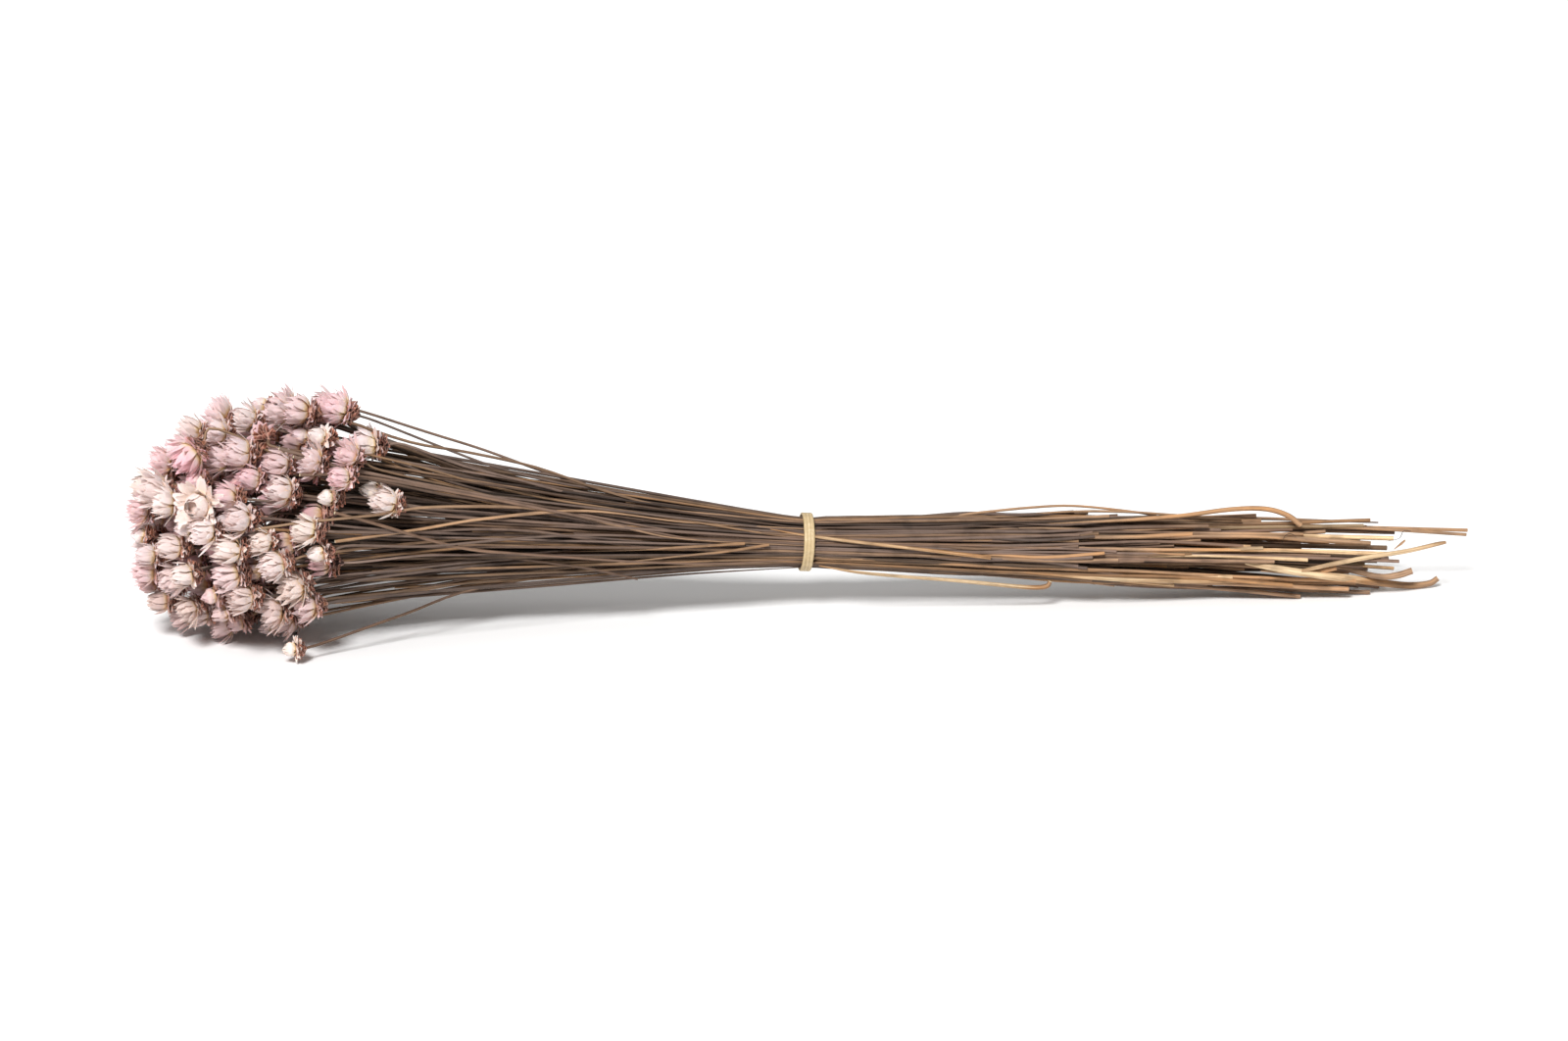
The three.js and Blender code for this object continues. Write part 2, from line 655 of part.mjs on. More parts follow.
// A bent or curled stem that leaves the others behind the band.
function strayRings(stray) {
  const sector = strayRoot(stray);
  const slot = keepInSector(offsetAt(stray.angle, BAND_SLOT_RADIUS), sector, SECTOR_MARGIN);
  const own = stray.way.map((p, k) => ({
    at: new THREE.Vector3(...p),
    radius: BAND_STEM_RADIUS + ((stray.radius - BAND_STEM_RADIUS) * (k + 1)) / stray.way.length,
  }));
  return [
    { at: pointAt(0, slot), radius: BAND_STEM_RADIUS },
    { at: pointAt(PRESSED.half, slot), radius: BAND_STEM_RADIUS },
    { at: behindBand({ slot, sector }, stray.leaves), radius: BAND_STEM_RADIUS },
    ...own,
  ];
}

// The leaf sheath, a strap whose underside lies flat on the surface.
function restSheath() {
  const start = strayRings({ ...REST_SHEATH, way: [] }).map(({ at }) => ({
    at: at.clone().setZ(at.z - SHEATH_STEM_SECTION.thickness / 2),
    size: SHEATH_STEM_SECTION,
  }));
  const strap = REST_SHEATH_WAY.map((p) => ({ at: new THREE.Vector3(...p), size: SHEATH_SECTION }));
  return ringSolid(
    [...start, ...strap].map(({ at, size }) => {
      const edge = (side, up) =>
        new THREE.Vector3(at.x, at.y + side * size.halfWidth, at.z + up * size.thickness);
      return [edge(-1, 0), edge(1, 0), edge(size.top, 1), edge(-size.top, 1)];
    }),
  );
}

// The rubber band, a flat ring.
function rubberBand() {
  const outer = BAND_INNER_RADIUS + BAND_THICKNESS;
  const half = BAND_WIDTH / 2;
  const profile = [
    [BAND_INNER_RADIUS, -half],
    [outer, -half],
    [outer, half],
    [BAND_INNER_RADIUS, half],
    [BAND_INNER_RADIUS, -half],
  ].map(([radius, along]) => new THREE.Vector2(radius, along));
  const geometry = new THREE.LatheGeometry(profile, BAND_SIDES);
  geometry.rotateZ(-Math.PI / 2);
  geometry.rotateY(BAND_TILT * DEGREES);
  geometry.translate(0, 0, (axisHeight(-PRESSED.half) + axisHeight(PRESSED.half)) / 2);
  return geometry;
}

function geometryOf(solid) {
  const { vertProperties, triVerts, numProp } = solid.getMesh();
  const geometry = new THREE.BufferGeometry();
  const positions = new Float32Array((vertProperties.length / numProp) * 3);
  for (let k = 0; k < positions.length / 3; k++)
    positions.set(vertProperties.subarray(k * numProp, k * numProp + 3), k * 3);
  geometry.setAttribute("position", new THREE.BufferAttribute(positions, 3));
  geometry.setIndex(new THREE.BufferAttribute(triVerts, 1));
  return geometry;
}

// Joins solids into one, without the slivers that their crossings leave and the voids they close off.
function fuse(solids) {
  const joined = solids.reduce((sum, solid) => sum.add(solid)).simplify(SLIVER);
  return wasm.Manifold.compose(joined.decompose().filter((body) => body.volume() > 0));
}

function material(finish) {
  return new THREE.MeshStandardMaterial({ ...finish, metalness: 0, flatShading: true });
}

const MATERIALS = {
  stem: material({ color: 0x8a6a50, roughness: 0.75 }),
  bracts: material({ color: 0xe9d3cd, roughness: 0.85 }),
  rubber: material({ color: 0xd9c79b, roughness: 0.6 }),
};

const flowers = layOutFlowers();
settle(flowers, LOOSE_ROUNDS);
pairUp(flowers);
settle(flowers, PACKING_ROUNDS);

const dropped = {
  crown: new THREE.Vector3(...DROPPED_HEAD.at),
  facing: new THREE.Vector3(...DROPPED_HEAD.ahead).normalize(),
  way: [...DROPPED_STEM].reverse(),
  slot: offsetAt(DROPPED_HEAD.angle, BAND_SLOT_RADIUS),
};
dropped.sector = sectorOf(dropped.slot);
seatHead(dropped);
flowers.push(dropped);

flowers.forEach((flower, number) => {
  flower.number = number;
  const share = chance(number, DRAWS.cutEnd) ** CUT_ENDS.power;
  flower.rings = stemRings(flower, CUT_ENDS.from + (CUT_ENDS.to - CUT_ENDS.from) * share);
});

for (const flower of flowers) {
  const crown = {
    centre: flower.crown,
    reach: CROWN_REACH,
    behind: CROWN_CENTRE - CROWN_LOWEST,
    sameNode: (other, piece) => piece === "crown" && other === flower.partner,
  };
  const calyx = {
    centre: flower.calyx,
    reach: CALYX_REACH,
    behind: CALYX_CENTRE - CALYX_BACK,
    sameNode: () => false,
  };
  flower.crownPlanes = planesRound(flower, crown, flowers);
  flower.calyxPlanes = planesRound(flower, calyx, flowers);
}

const bunch = new THREE.Group();
bunch.name = "dried_glixia_bunch";

function place(name, geometry, finish) {
  const mesh = new THREE.Mesh(geometry, finish);
  mesh.name = name;
  bunch.add(mesh);
}

for (let sector = 0; sector < SECTORS; sector++) {
  const solids = flowers.filter((flower) => flower.sector === sector).map(stemWithCalyx);
  const strays = STRAY_STEMS.filter((stray) => strayRoot(stray) === sector);
  solids.push(...strays.map((stray) => ringSolid(sweep(strayRings(stray)))));
  if (strayRoot(REST_SHEATH) === sector) solids.push(restSheath());
  place(`stems_${sector + 1}`, geometryOf(fuse([pressedCore(sector), ...solids])), MATERIALS.stem);
}

let count = 0;
for (const flower of flowers) {
  if (flower.partner && flower.partner.number < flower.number) continue;
  count++;
  const name = `heads_${String(count).padStart(2, "0")}`;
  place(name, geometryOf(headSolid(flower)), MATERIALS.bracts);
}
place("rubber_band", rubberBand(), MATERIALS.rubber);

// The origin goes under the middle of the bunch.
const box = new THREE.Box3().setFromObject(bunch);
const middle = box.getCenter(new THREE.Vector3());
for (const mesh of bunch.children) mesh.position.set(-middle.x, -middle.y, -box.min.z);

export default bunch;
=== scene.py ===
"""Looks of a bunch of dried glixia (star flowers) that lies on its side, tied with a rubber band.

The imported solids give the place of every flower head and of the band. Lengths in this file are
millimetres round the bunch's own centre line, with x = 0 at the band, the heads towards -X and the
cut ends towards +X, until a piece is placed in the frame in metres.
"""

from __future__ import annotations

import logging
import math
import random
from dataclasses import dataclass, field
from enum import Enum
from typing import Sequence

import bmesh
import bpy
from mathutils import Matrix, Vector, noise

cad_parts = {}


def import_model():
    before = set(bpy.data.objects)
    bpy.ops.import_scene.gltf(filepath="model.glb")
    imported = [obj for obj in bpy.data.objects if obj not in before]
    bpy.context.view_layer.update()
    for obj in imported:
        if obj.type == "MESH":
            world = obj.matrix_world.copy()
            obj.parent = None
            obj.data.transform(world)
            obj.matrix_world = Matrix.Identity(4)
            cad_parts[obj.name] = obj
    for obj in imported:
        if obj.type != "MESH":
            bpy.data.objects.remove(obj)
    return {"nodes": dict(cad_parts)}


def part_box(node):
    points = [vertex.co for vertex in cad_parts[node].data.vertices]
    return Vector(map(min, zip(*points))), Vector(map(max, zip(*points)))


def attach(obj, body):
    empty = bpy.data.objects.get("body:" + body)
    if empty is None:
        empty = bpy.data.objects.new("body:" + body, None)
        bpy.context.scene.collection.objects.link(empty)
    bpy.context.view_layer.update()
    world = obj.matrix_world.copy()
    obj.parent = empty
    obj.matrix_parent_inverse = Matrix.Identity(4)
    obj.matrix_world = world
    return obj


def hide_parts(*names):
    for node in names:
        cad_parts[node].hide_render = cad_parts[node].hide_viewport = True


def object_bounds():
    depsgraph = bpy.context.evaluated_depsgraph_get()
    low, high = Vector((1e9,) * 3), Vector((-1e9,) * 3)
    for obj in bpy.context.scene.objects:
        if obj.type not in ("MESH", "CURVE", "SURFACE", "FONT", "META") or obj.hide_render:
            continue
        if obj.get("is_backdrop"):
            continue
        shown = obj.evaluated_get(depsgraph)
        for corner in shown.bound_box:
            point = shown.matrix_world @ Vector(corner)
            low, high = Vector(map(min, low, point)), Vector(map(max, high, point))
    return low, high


LOG = logging.getLogger("glixia")
MM = 0.001
BODY = "root"
GOLDEN_ANGLE = math.radians(137.508)

Colour = tuple[float, float, float]


def linear(colour: Colour) -> tuple[float, float, float, float]:
    """Turns a colour as it looks on a screen into the linear one that shaders take."""
    return (*[c / 12.92 if c <= 0.04045 else ((c + 0.055) / 1.055) ** 2.4 for c in colour], 1.0)


def smooth(value: float, low: float, high: float) -> float:
    """Eases from 0 at low to 1 at high."""
    share = min(1.0, max(0.0, (value - low) / (high - low)))
    return share * share * (3 - 2 * share)


class Tree:
    """A node tree in the making."""

    def __init__(self, tree: bpy.types.NodeTree) -> None:
        """Starts from an empty tree."""
        self.tree = tree
        tree.nodes.clear()

    def add(self, kind: str, **settings) -> bpy.types.Node:
        """Adds a node.

        Args:
            kind: the node's type, without its ShaderNode or NodeGroup prefix.
            settings: properties that are set on the node.

        Returns:
            The new node.
        """
        prefix = "" if kind.startswith("NodeGroup") else "ShaderNode"
        node = self.tree.nodes.new(prefix + kind)
        for name, value in settings.items():
            setattr(node, name, value)
        return node

    def feed(self, socket: bpy.types.NodeSocket, value) -> None:
        """Gives a socket a value or links it to another socket."""
        if isinstance(value, bpy.types.NodeSocket):
            self.tree.links.new(value, socket)
        else:
            socket.default_value = value

    def math(self, operation: str, first, second=0.0) -> bpy.types.NodeSocket:
        """Works out a number from one or two others."""
        node = self.add("Math", operation=operation)
        self.feed(node.inputs[0], first)
        self.feed(node.inputs[1], second)
        return node.outputs[0]

    def scale(self, value, low: float, high: float, out_low: float, out_high: float):
        """Maps a number from one range to another and holds it there."""
        node = self.add("MapRange")
        for socket, given in zip(node.inputs, (value, low, high, out_low, out_high)):
            self.feed(socket, given)
        return node.outputs[0]

    def mix(self, factor, first, second, blend: str = "MIX") -> bpy.types.NodeSocket:
        """Mixes two colours."""
        node = self.add("Mix", data_type="RGBA", blend_type=blend)
        self.feed(node.inputs[0], factor)
        self.feed(node.inputs[6], first)
        self.feed(node.inputs[7], second)
        return node.outputs[2]

    def ramp(self, factor, stops: Sequence[tuple[float, Colour]]) -> bpy.types.NodeSocket:
        """A colour that changes with a number, from stops of (place, screen colour)."""
        node = self.add("ValToRGB")
        elements = node.color_ramp.elements
        while len(elements) < len(stops):
            elements.new(0.5)
        for element, (place, colour) in zip(elements, stops):
            element.position = place
            element.color = linear(colour)
        self.feed(node.inputs[0], factor)
        return node.outputs[0]

    def noise(self, vector, scale: float, detail: float = 2.0, roughness: float = 0.5):
        """Noise from 0 to 1 at a place."""
        node = self.add("TexNoise")
        self.feed(node.inputs["Vector"], vector)
        node.inputs["Scale"].default_value = scale
        node.inputs["Detail"].default_value = detail
        node.inputs["Roughness"].default_value = roughness
        return node.outputs[0]


@dataclass(frozen=True)
class GroupPlan:
    """The name of a shader node group with its inputs and outputs."""

    name: str
    takes: dict[str, float]
    gives: tuple[str, ...]

    def open(self) -> tuple[Tree, bpy.types.Node, bpy.types.Node]:
        """Makes the empty group and returns its tree, its input and its output."""
        group = bpy.data.node_groups.new(self.name, "ShaderNodeTree")
        tree = Tree(group)
        for socket, default in self.takes.items():
            kind = "NodeSocketVector" if socket == "Place" else "NodeSocketFloat"
            made = group.interface.new_socket(name=socket, in_out="INPUT", socket_type=kind)
            if kind == "NodeSocketFloat":
                made.default_value = default
        for socket in self.gives:
            group.interface.new_socket(name=socket, in_out="OUTPUT", socket_type="NodeSocketFloat")
        return tree, tree.add("NodeGroupInput"), tree.add("NodeGroupOutput")

    def use(self, tree: Tree, place, **values: float) -> bpy.types.Node:
        """Places the group in a material's tree with its own values."""
        node = tree.add("Group")
        node.node_tree = bpy.data.node_groups[self.name]
        tree.feed(node.inputs["Place"], place)
        for name, value in values.items():
            node.inputs[name].default_value = value
        return node


RELIEF_AND_MASK = ("Mask", "Height")
FIBRES = GroupPlan("Lengthwise fibres", {"Place": 0, "Fineness": 3.0, "Stretch": 0.2}, RELIEF_AND_MASK)
VEINS = GroupPlan("Papery veins", {"Place": 0, "Count": 7.0, "Waver": 0.4}, RELIEF_AND_MASK)
BLOTCHES = GroupPlan("Age blotches", {"Place": 0, "Size": 300.0, "Share": 0.5}, ("Mask",))


def make_fibres() -> None:
    """Streaks that run along a stem: the place is round and along it."""
    tree, taken, given = FIBRES.open()
    parts = tree.add("SeparateXYZ")
    tree.feed(parts.inputs[0], taken.outputs["Place"])
    joined = tree.add("CombineXYZ")
    tree.feed(joined.inputs[0], tree.math("MULTIPLY", parts.outputs[0], taken.outputs["Fineness"]))
    tree.feed(joined.inputs[1], tree.math("MULTIPLY", parts.outputs[1], taken.outputs["Fineness"]))
    tree.feed(joined.inputs[2], tree.math("MULTIPLY", parts.outputs[2], taken.outputs["Stretch"]))
    fine = tree.noise(joined.outputs[0], 1.0, 4.0, 0.6)
    broad = tree.noise(joined.outputs[0], 0.35, 2.0)
    both = tree.math("ADD", tree.math("MULTIPLY", fine, 0.6), tree.math("MULTIPLY", broad, 0.4))
    tree.feed(given.inputs["Mask"], tree.scale(both, 0.35, 0.65, 0.0, 1.0))
    tree.feed(given.inputs["Height"], fine)


def make_veins() -> None:
    """Fine veins along a bract: the place is across it, along it and its own seed."""
    tree, taken, given = VEINS.open()
    parts = tree.add("SeparateXYZ")
    tree.feed(parts.inputs[0], taken.outputs["Place"])
    waver = tree.math("MULTIPLY", tree.noise(taken.outputs["Place"], 2.5), taken.outputs["Waver"])
    across = tree.math("ADD", tree.math("MULTIPLY", parts.outputs[0], taken.outputs["Count"]), waver)
    wave = tree.math("SINE", tree.math("MULTIPLY", across, math.pi))
    height = tree.scale(wave, -1.0, 1.0, 0.0, 1.0)
    fade = tree.scale(parts.outputs[1], 0.0, 1.0, 1.0, 0.5)
    tree.feed(given.inputs["Height"], height)
    tree.feed(given.inputs["Mask"], tree.math("MULTIPLY", tree.math("POWER", height, 2.0), fade))


def make_blotches() -> None:
    """Irregular darker places, by where they are on the object."""
    tree, taken, given = BLOTCHES.open()
    cloud = tree.add("TexNoise")
    tree.feed(cloud.inputs["Vector"], taken.outputs["Place"])
    tree.feed(cloud.inputs["Scale"], taken.outputs["Size"])
    cloud.inputs["Detail"].default_value = 3.0
    low = tree.math("SUBTRACT", 1.0, taken.outputs["Share"])
    above = tree.math("SUBTRACT", cloud.outputs[0], low)
    tree.feed(given.inputs["Mask"], tree.scale(above, 0.0, 0.18, 0.0, 1.0))


@dataclass(frozen=True)
class Gloss:
    """The plain values of a finish."""

    roughness: float = 0.6
    specular: float = 0.35
    subsurface: float = 0.0
    sheen: float = 0.0


class Finish:
    """A material whose colour, roughness and relief come from nodes."""

    def __init__(self, name: str, gloss: Gloss) -> None:
        """Starts the material with its shader and the piece's own attributes."""
        self.material = bpy.data.materials.new(name)
        self.material.use_nodes = True
        self.tree = Tree(self.material.node_tree)
        self.shader = self.tree.add("BsdfPrincipled")
        output = self.tree.add("OutputMaterial")
        self.tree.feed(output.inputs["Surface"], self.shader.outputs[0])
        self.set("Roughness", gloss.roughness)
        self.set("Specular IOR Level", gloss.specular)
        if gloss.subsurface:
            self.set("Subsurface Weight", gloss.subsurface)
            self.set("Subsurface Radius", (0.0006, 0.0004, 0.0003))
            self.set("Subsurface Scale", 1.0)
        if gloss.sheen:
            self.set("Sheen Weight", gloss.sheen)
        grain = self.tree.add("Attribute", attribute_name="grain")
        tone = self.tree.add("Attribute", attribute_name="tone")
        self.grain = grain.outputs["Vector"]
        split = self.tree.add("SeparateColor")
        self.tree.feed(split.inputs[0], tone.outputs["Color"])
        self.tones = split.outputs
        parts = self.tree.add("SeparateXYZ")
        self.tree.feed(parts.inputs[0], self.grain)
        self.parts = parts.outputs
        self.place = self.tree.add("TexCoord").outputs["Object"]

    def set(self, socket: str, value) -> None:
        """Feeds one of the shader's sockets."""
        self.tree.feed(self.shader.inputs[socket], value)

    def relief(self, height, depth: float, strength: float = 1.0) -> None:
        """Gives the surface a bump of a depth in millimetres."""
        bump = self.tree.add("Bump")
        bump.inputs["Strength"].default_value = strength
        bump.inputs["Distance"].default_value = depth * MM
        self.tree.feed(bump.inputs["Height"], height)
        self.set("Normal", bump.outputs[0])

    def shade(self, colour, amount, low: float, high: float):
        """Darkens or lightens a colour by a number from 0 to 1."""
        level = self.tree.scale(amount, 0.0, 1.0, low, high)
        grey = self.tree.add("CombineColor")
        for socket in grey.inputs[:3]:
            self.tree.feed(socket, level)
        return self.tree.mix(1.0, colour, grey.outputs[0], "MULTIPLY")


@dataclass(frozen=True)
class StemFinish:
    """Dry stem bark: grey-brown with tan and ochre stems among them, and pale pith at the cuts."""

    grey: Colour = (0.475, 0.40, 0.36)
    brown: Colour = (0.40, 0.31, 0.25)
    tan: Colour = (0.60, 0.48, 0.375)
    ochre: Colour = (0.65, 0.475, 0.31)
    straw: Colour = (0.81, 0.71, 0.57)
    pith: Colour = (0.93, 0.87, 0.74)
    streak_depth: float = 0.09

    def material(self) -> bpy.types.Material:
        """Builds the material."""
        finish = Finish("dry_stem", Gloss(roughness=0.62, specular=0.3))
        tree = finish.tree
        barks = (self.grey, self.brown, self.tan, self.ochre, self.straw)
        stops = list(zip((0.0, 0.3, 0.55, 0.8, 1.0), barks))
        fibres = FIBRES.use(tree, finish.grain, Fineness=2.4, Stretch=0.09)
        shift = tree.scale(fibres.outputs["Mask"], 0.0, 1.0, -0.09, 0.09)
        colour = tree.ramp(tree.math("ADD", finish.tones[0], shift), stops)
        colour = finish.shade(colour, fibres.outputs["Mask"], 0.6, 1.25)
        blotches = BLOTCHES.use(tree, finish.place, Size=140.0, Share=0.5)
        colour = finish.shade(colour, blotches.outputs["Mask"], 1.0, 0.72)
        colour = finish.shade(colour, finish.tones[1], 0.25, 1.5)
        colour = tree.mix(finish.tones[2], colour, linear(self.pith))
        finish.set("Base Color", colour)
        finish.set("Roughness", tree.scale(fibres.outputs["Mask"], 0.0, 1.0, 0.5, 0.72))
        finish.relief(fibres.outputs["Height"], self.streak_depth)
        return finish.material


@dataclass(frozen=True)
class BractFinish:
    """Papery bracts: cream at the foot, white along the middle and pink towards the tip; painted shade
    darkens deep and low flowers towards mauve.
    """

    rust: Colour = (0.56, 0.31, 0.19)
    gold: Colour = (0.87, 0.68, 0.47)
    butter: Colour = (0.97, 0.85, 0.63)
    cream: Colour = (0.975, 0.90, 0.855)
    white: Colour = (0.975, 0.895, 0.885)
    pink: Colour = (0.96, 0.735, 0.765)
    mauve_vein_and_shade: Colour = (0.77, 0.48, 0.45)
    vein_depth: float = 0.03

    def material(self) -> bpy.types.Material:
        """Builds the material."""
        finish = Finish("papery_bract", Gloss(roughness=0.5, specular=0.3, subsurface=0.3, sheen=0.05))
        tree = finish.tree
        along = finish.parts[1]
        own = tree.ramp(finish.tones[0], [(0.0, self.cream), (0.3, self.white), (1.0, self.pink)])
        foot_stops = [(0.0, self.rust), (0.1, self.gold), (0.28, self.butter), (0.5, self.cream)]
        foot = tree.ramp(along, foot_stops)
        colour = tree.mix(tree.scale(along, 0.2, 0.75, 0.0, 1.0), foot, own)
        veins = VEINS.use(tree, finish.grain, Count=5.0, Waver=0.8)
        colour = tree.mix(tree.math("MULTIPLY", veins.outputs["Mask"], 0.07), colour, linear(self.mauve_vein_and_shade))
        blotches = BLOTCHES.use(tree, finish.place, Size=260.0, Share=0.4)
        colour = tree.mix(tree.math("MULTIPLY", blotches.outputs["Mask"], 0.1), colour, linear(self.mauve_vein_and_shade))
        colour = finish.shade(colour, finish.tones[2], 0.93, 1.0)
        # painted shade: flowers deep in the ball or low on it are turned mauve and darkened by their second
        # tone
        colour = tree.mix(tree.scale(finish.tones[1], 0.0, 1.0, 0.9, 0.0), colour, linear(self.mauve_vein_and_shade))
        colour = finish.shade(colour, finish.tones[1], 0.6, 1.0)
        finish.set("Base Color", colour)
        finish.set("Roughness", tree.scale(veins.outputs["Height"], 0.0, 1.0, 0.42, 0.58))
        finish.relief(veins.outputs["Height"], self.vein_depth)
        return finish.material


@dataclass(frozen=True)
class ScaleFinish:
    """Small reddish-brown scales under a flower, darker at the foot and paler at the tip and edge, partly
    their own colour and partly painted shade and highlight.
    """

    foot: Colour = (0.19, 0.075, 0.05)
    middle: Colour = (0.42, 0.22, 0.16)
    tip: Colour = (0.68, 0.43, 0.36)
    edge: Colour = (0.90, 0.69, 0.61)
    rust: Colour = (0.60, 0.37, 0.20)
    vein_depth: float = 0.03

    def material(self) -> bpy.types.Material:
        """Builds the material."""
        finish = Finish("brown_scale", Gloss(roughness=0.52, specular=0.4, sheen=0.05))
        tree = finish.tree
        along = finish.parts[1]
        across = tree.math("ABSOLUTE", finish.parts[0])
        # the dark foot is partly painted shade between the scales, and the pale tip and edge are partly
        # painted highlight
        colour = tree.ramp(along, [(0.0, self.foot), (0.45, self.middle), (1.0, self.tip)])
        rim = tree.math("MULTIPLY", tree.scale(across, 0.4, 1.0, 0.0, 1.0), 0.8)
        colour = tree.mix(rim, colour, linear(self.edge))
        colour = tree.mix(tree.scale(finish.tones[2], 0.7, 1.0, 0.0, 0.5), colour, linear(self.rust))
        veins = VEINS.use(tree, finish.grain, Count=4.0, Waver=1.0)
        colour = finish.shade(colour, veins.outputs["Mask"], 1.05, 0.8)
        colour = finish.shade(colour, finish.tones[2], 0.6, 1.25)
        # painted shade: flowers deep in the ball or low on it get darker scales
        colour = finish.shade(colour, finish.tones[1], 0.5, 1.0)
        finish.set("Base Color", colour)
        finish.set("Roughness", tree.scale(finish.tones[2], 0.0, 1.0, 0.42, 0.62))
        finish.relief(veins.outputs["Height"], self.vein_depth)
        return finish.material


@dataclass(frozen=True)
class RubberFinish:
    """Old tan rubber with a dusty bloom and painted shade in its grooves."""

    tan: Colour = (0.79, 0.70, 0.55)
    worn: Colour = (0.70, 0.61, 0.45)
    dust: Colour = (0.85, 0.79, 0.67)
    groove_shade: Colour = (0.60, 0.50, 0.33)
    relief_depth: float = 0.03

    def material(self) -> bpy.types.Material:
        """Builds the material."""
        finish = Finish("tan_rubber", Gloss(roughness=0.5, specular=0.35))
        tree = finish.tree
        fibres = FIBRES.use(tree, finish.grain, Fineness=1.4, Stretch=0.35)
        colour = tree.mix(fibres.outputs["Mask"], linear(self.tan), linear(self.worn))
        blotches = BLOTCHES.use(tree, finish.place, Size=900.0, Share=0.45)
        dusty = tree.math("MULTIPLY", blotches.outputs["Mask"], 0.5)
        colour = tree.mix(dusty, colour, linear(self.dust))
        # painted shade: the grooves are darkened
        groove_shade_mask = tree.math("MULTIPLY", finish.tones[0], 0.6)
        colour = tree.mix(groove_shade_mask, colour, linear(self.groove_shade))
        finish.set("Base Color", colour)
        finish.set("Roughness", tree.scale(blotches.outputs["Mask"], 0.0, 1.0, 0.42, 0.68))
        finish.relief(fibres.outputs["Height"], self.relief_depth)
        return finish.material


@dataclass(frozen=True)
class Place:
    """The way into the frame, and the solids' box that the looks keep to."""

    to_frame: Matrix
    low: Vector
    high: Vector

    YIELD = 0.35

    def fit(self, mesh: bpy.types.Mesh) -> None:
        """Moves a mesh into the frame, lays it on the surface and softly presses it into the box."""
        mesh.transform(self.to_frame)
        for vert in mesh.vertices:
            vert.co.z = max(vert.co.z, self.low.z)
            for axis in range(3):
                inside = min(max(vert.co[axis], self.low[axis]), self.high[axis])
                vert.co[axis] = inside + (vert.co[axis] - inside) * self.YIELD


@dataclass
class Piece:
    """A mesh in the making, in millimetres, with the attributes that its materials read."""

    name: str
    materials: list[bpy.types.Material]
    bm: bmesh.types.BMesh = field(init=False)

    def __post_init__(self) -> None:
        """Opens the mesh with its attribute layers."""
        self.bm = new_bmesh()

    def add(self, mesh: bpy.types.Mesh, matrix: Matrix) -> list[bmesh.types.BMVert]:
        """Adds a copy of a mesh.

        Args:
            mesh: the mesh, with the same attribute layers.
            matrix: where the copy goes.

        Returns:
            The copy's vertices.
        """
        before = len(self.bm.verts)
        self.bm.from_mesh(mesh)
        self.bm.verts.ensure_lookup_table()
        new = self.bm.verts[before:]
        bmesh.ops.transform(self.bm, matrix=matrix, verts=new)
        return new

    def tint(self, verts: Sequence[bmesh.types.BMVert], hue: float, light: float) -> None:
        """Sets the first two tones of some vertices."""
        tone = self.bm.verts.layers.float_color["tone"]
        for vert in verts:
            vert[tone] = (hue, light, vert[tone][2], 1.0)

    def add_once(self, bm: bmesh.types.BMesh, matrix: Matrix) -> None:
        """Adds a small mesh that nothing else copies."""
        mesh = keep(bm, "once")
        self.add(mesh, matrix)
        bpy.data.meshes.remove(mesh)

    def finish(self, place: Place, slot: str, replaced: Sequence[str] = ()) -> bpy.types.Object:
        """Places the piece in the frame.

        Args:
            place: the way into the frame.
            slot: not used.
            replaced: the CAD nodes that the piece stands for.

        Returns:
            The finished object.
        """
        for face in self.bm.faces:
            face.smooth = True
        mesh = bpy.data.meshes.new(self.name)
        self.bm.to_mesh(mesh)
        self.bm.free()
        place.fit(mesh)
        for material in self.materials:
            mesh.materials.append(material)
        made = bpy.data.objects.new(self.name, mesh)
        bpy.context.scene.collection.objects.link(made)
        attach(made, BODY)
        if replaced:
            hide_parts(*replaced)
        LOG.info("%s: %d faces", self.name, len(mesh.polygons))
        return made


def new_bmesh() -> bmesh.types.BMesh:
    """An empty mesh with the layers that the materials read."""
    bm = bmesh.new()
    bm.verts.layers.float_vector.new("grain")
    bm.verts.layers.float_color.new("tone")
    return bm


def crease(bm: bmesh.types.BMesh, angle: float) -> None:
    """Keeps the edges sharp that turn by more than an angle."""
    for edge in bm.edges:
        edge.smooth = edge.calc_face_angle(0.0) < angle


def keep(bm: bmesh.types.BMesh, name: str) -> bpy.types.Mesh:
    """Turns a small mesh into a template that pieces can copy."""
    mesh = bpy.data.meshes.new(name)
    bm.to_mesh(mesh)
    bm.free()
    return mesh


class Part(Enum):
    """What a blade of a flower head is, with the number of its material."""

    BRACT = 0
    SCALE = 1


@dataclass(frozen=True)
class Whorl:
    """A ring of blades round a flower's axis. Angles are degrees off the axis, forwards."""

    part: Part
    count: int
    radius: float
    height: float
    length: float
    width: float
    opens: float
    ends: float
    cup: float = 0.1
    point: float = 0.7
    tip: float = 0.05
    bend: float = 0.5
    rows: int = 5
    along: tuple[float, float] = (0.0, 1.0)
    thickness: float = 0.1
    uneven: float = 1.0


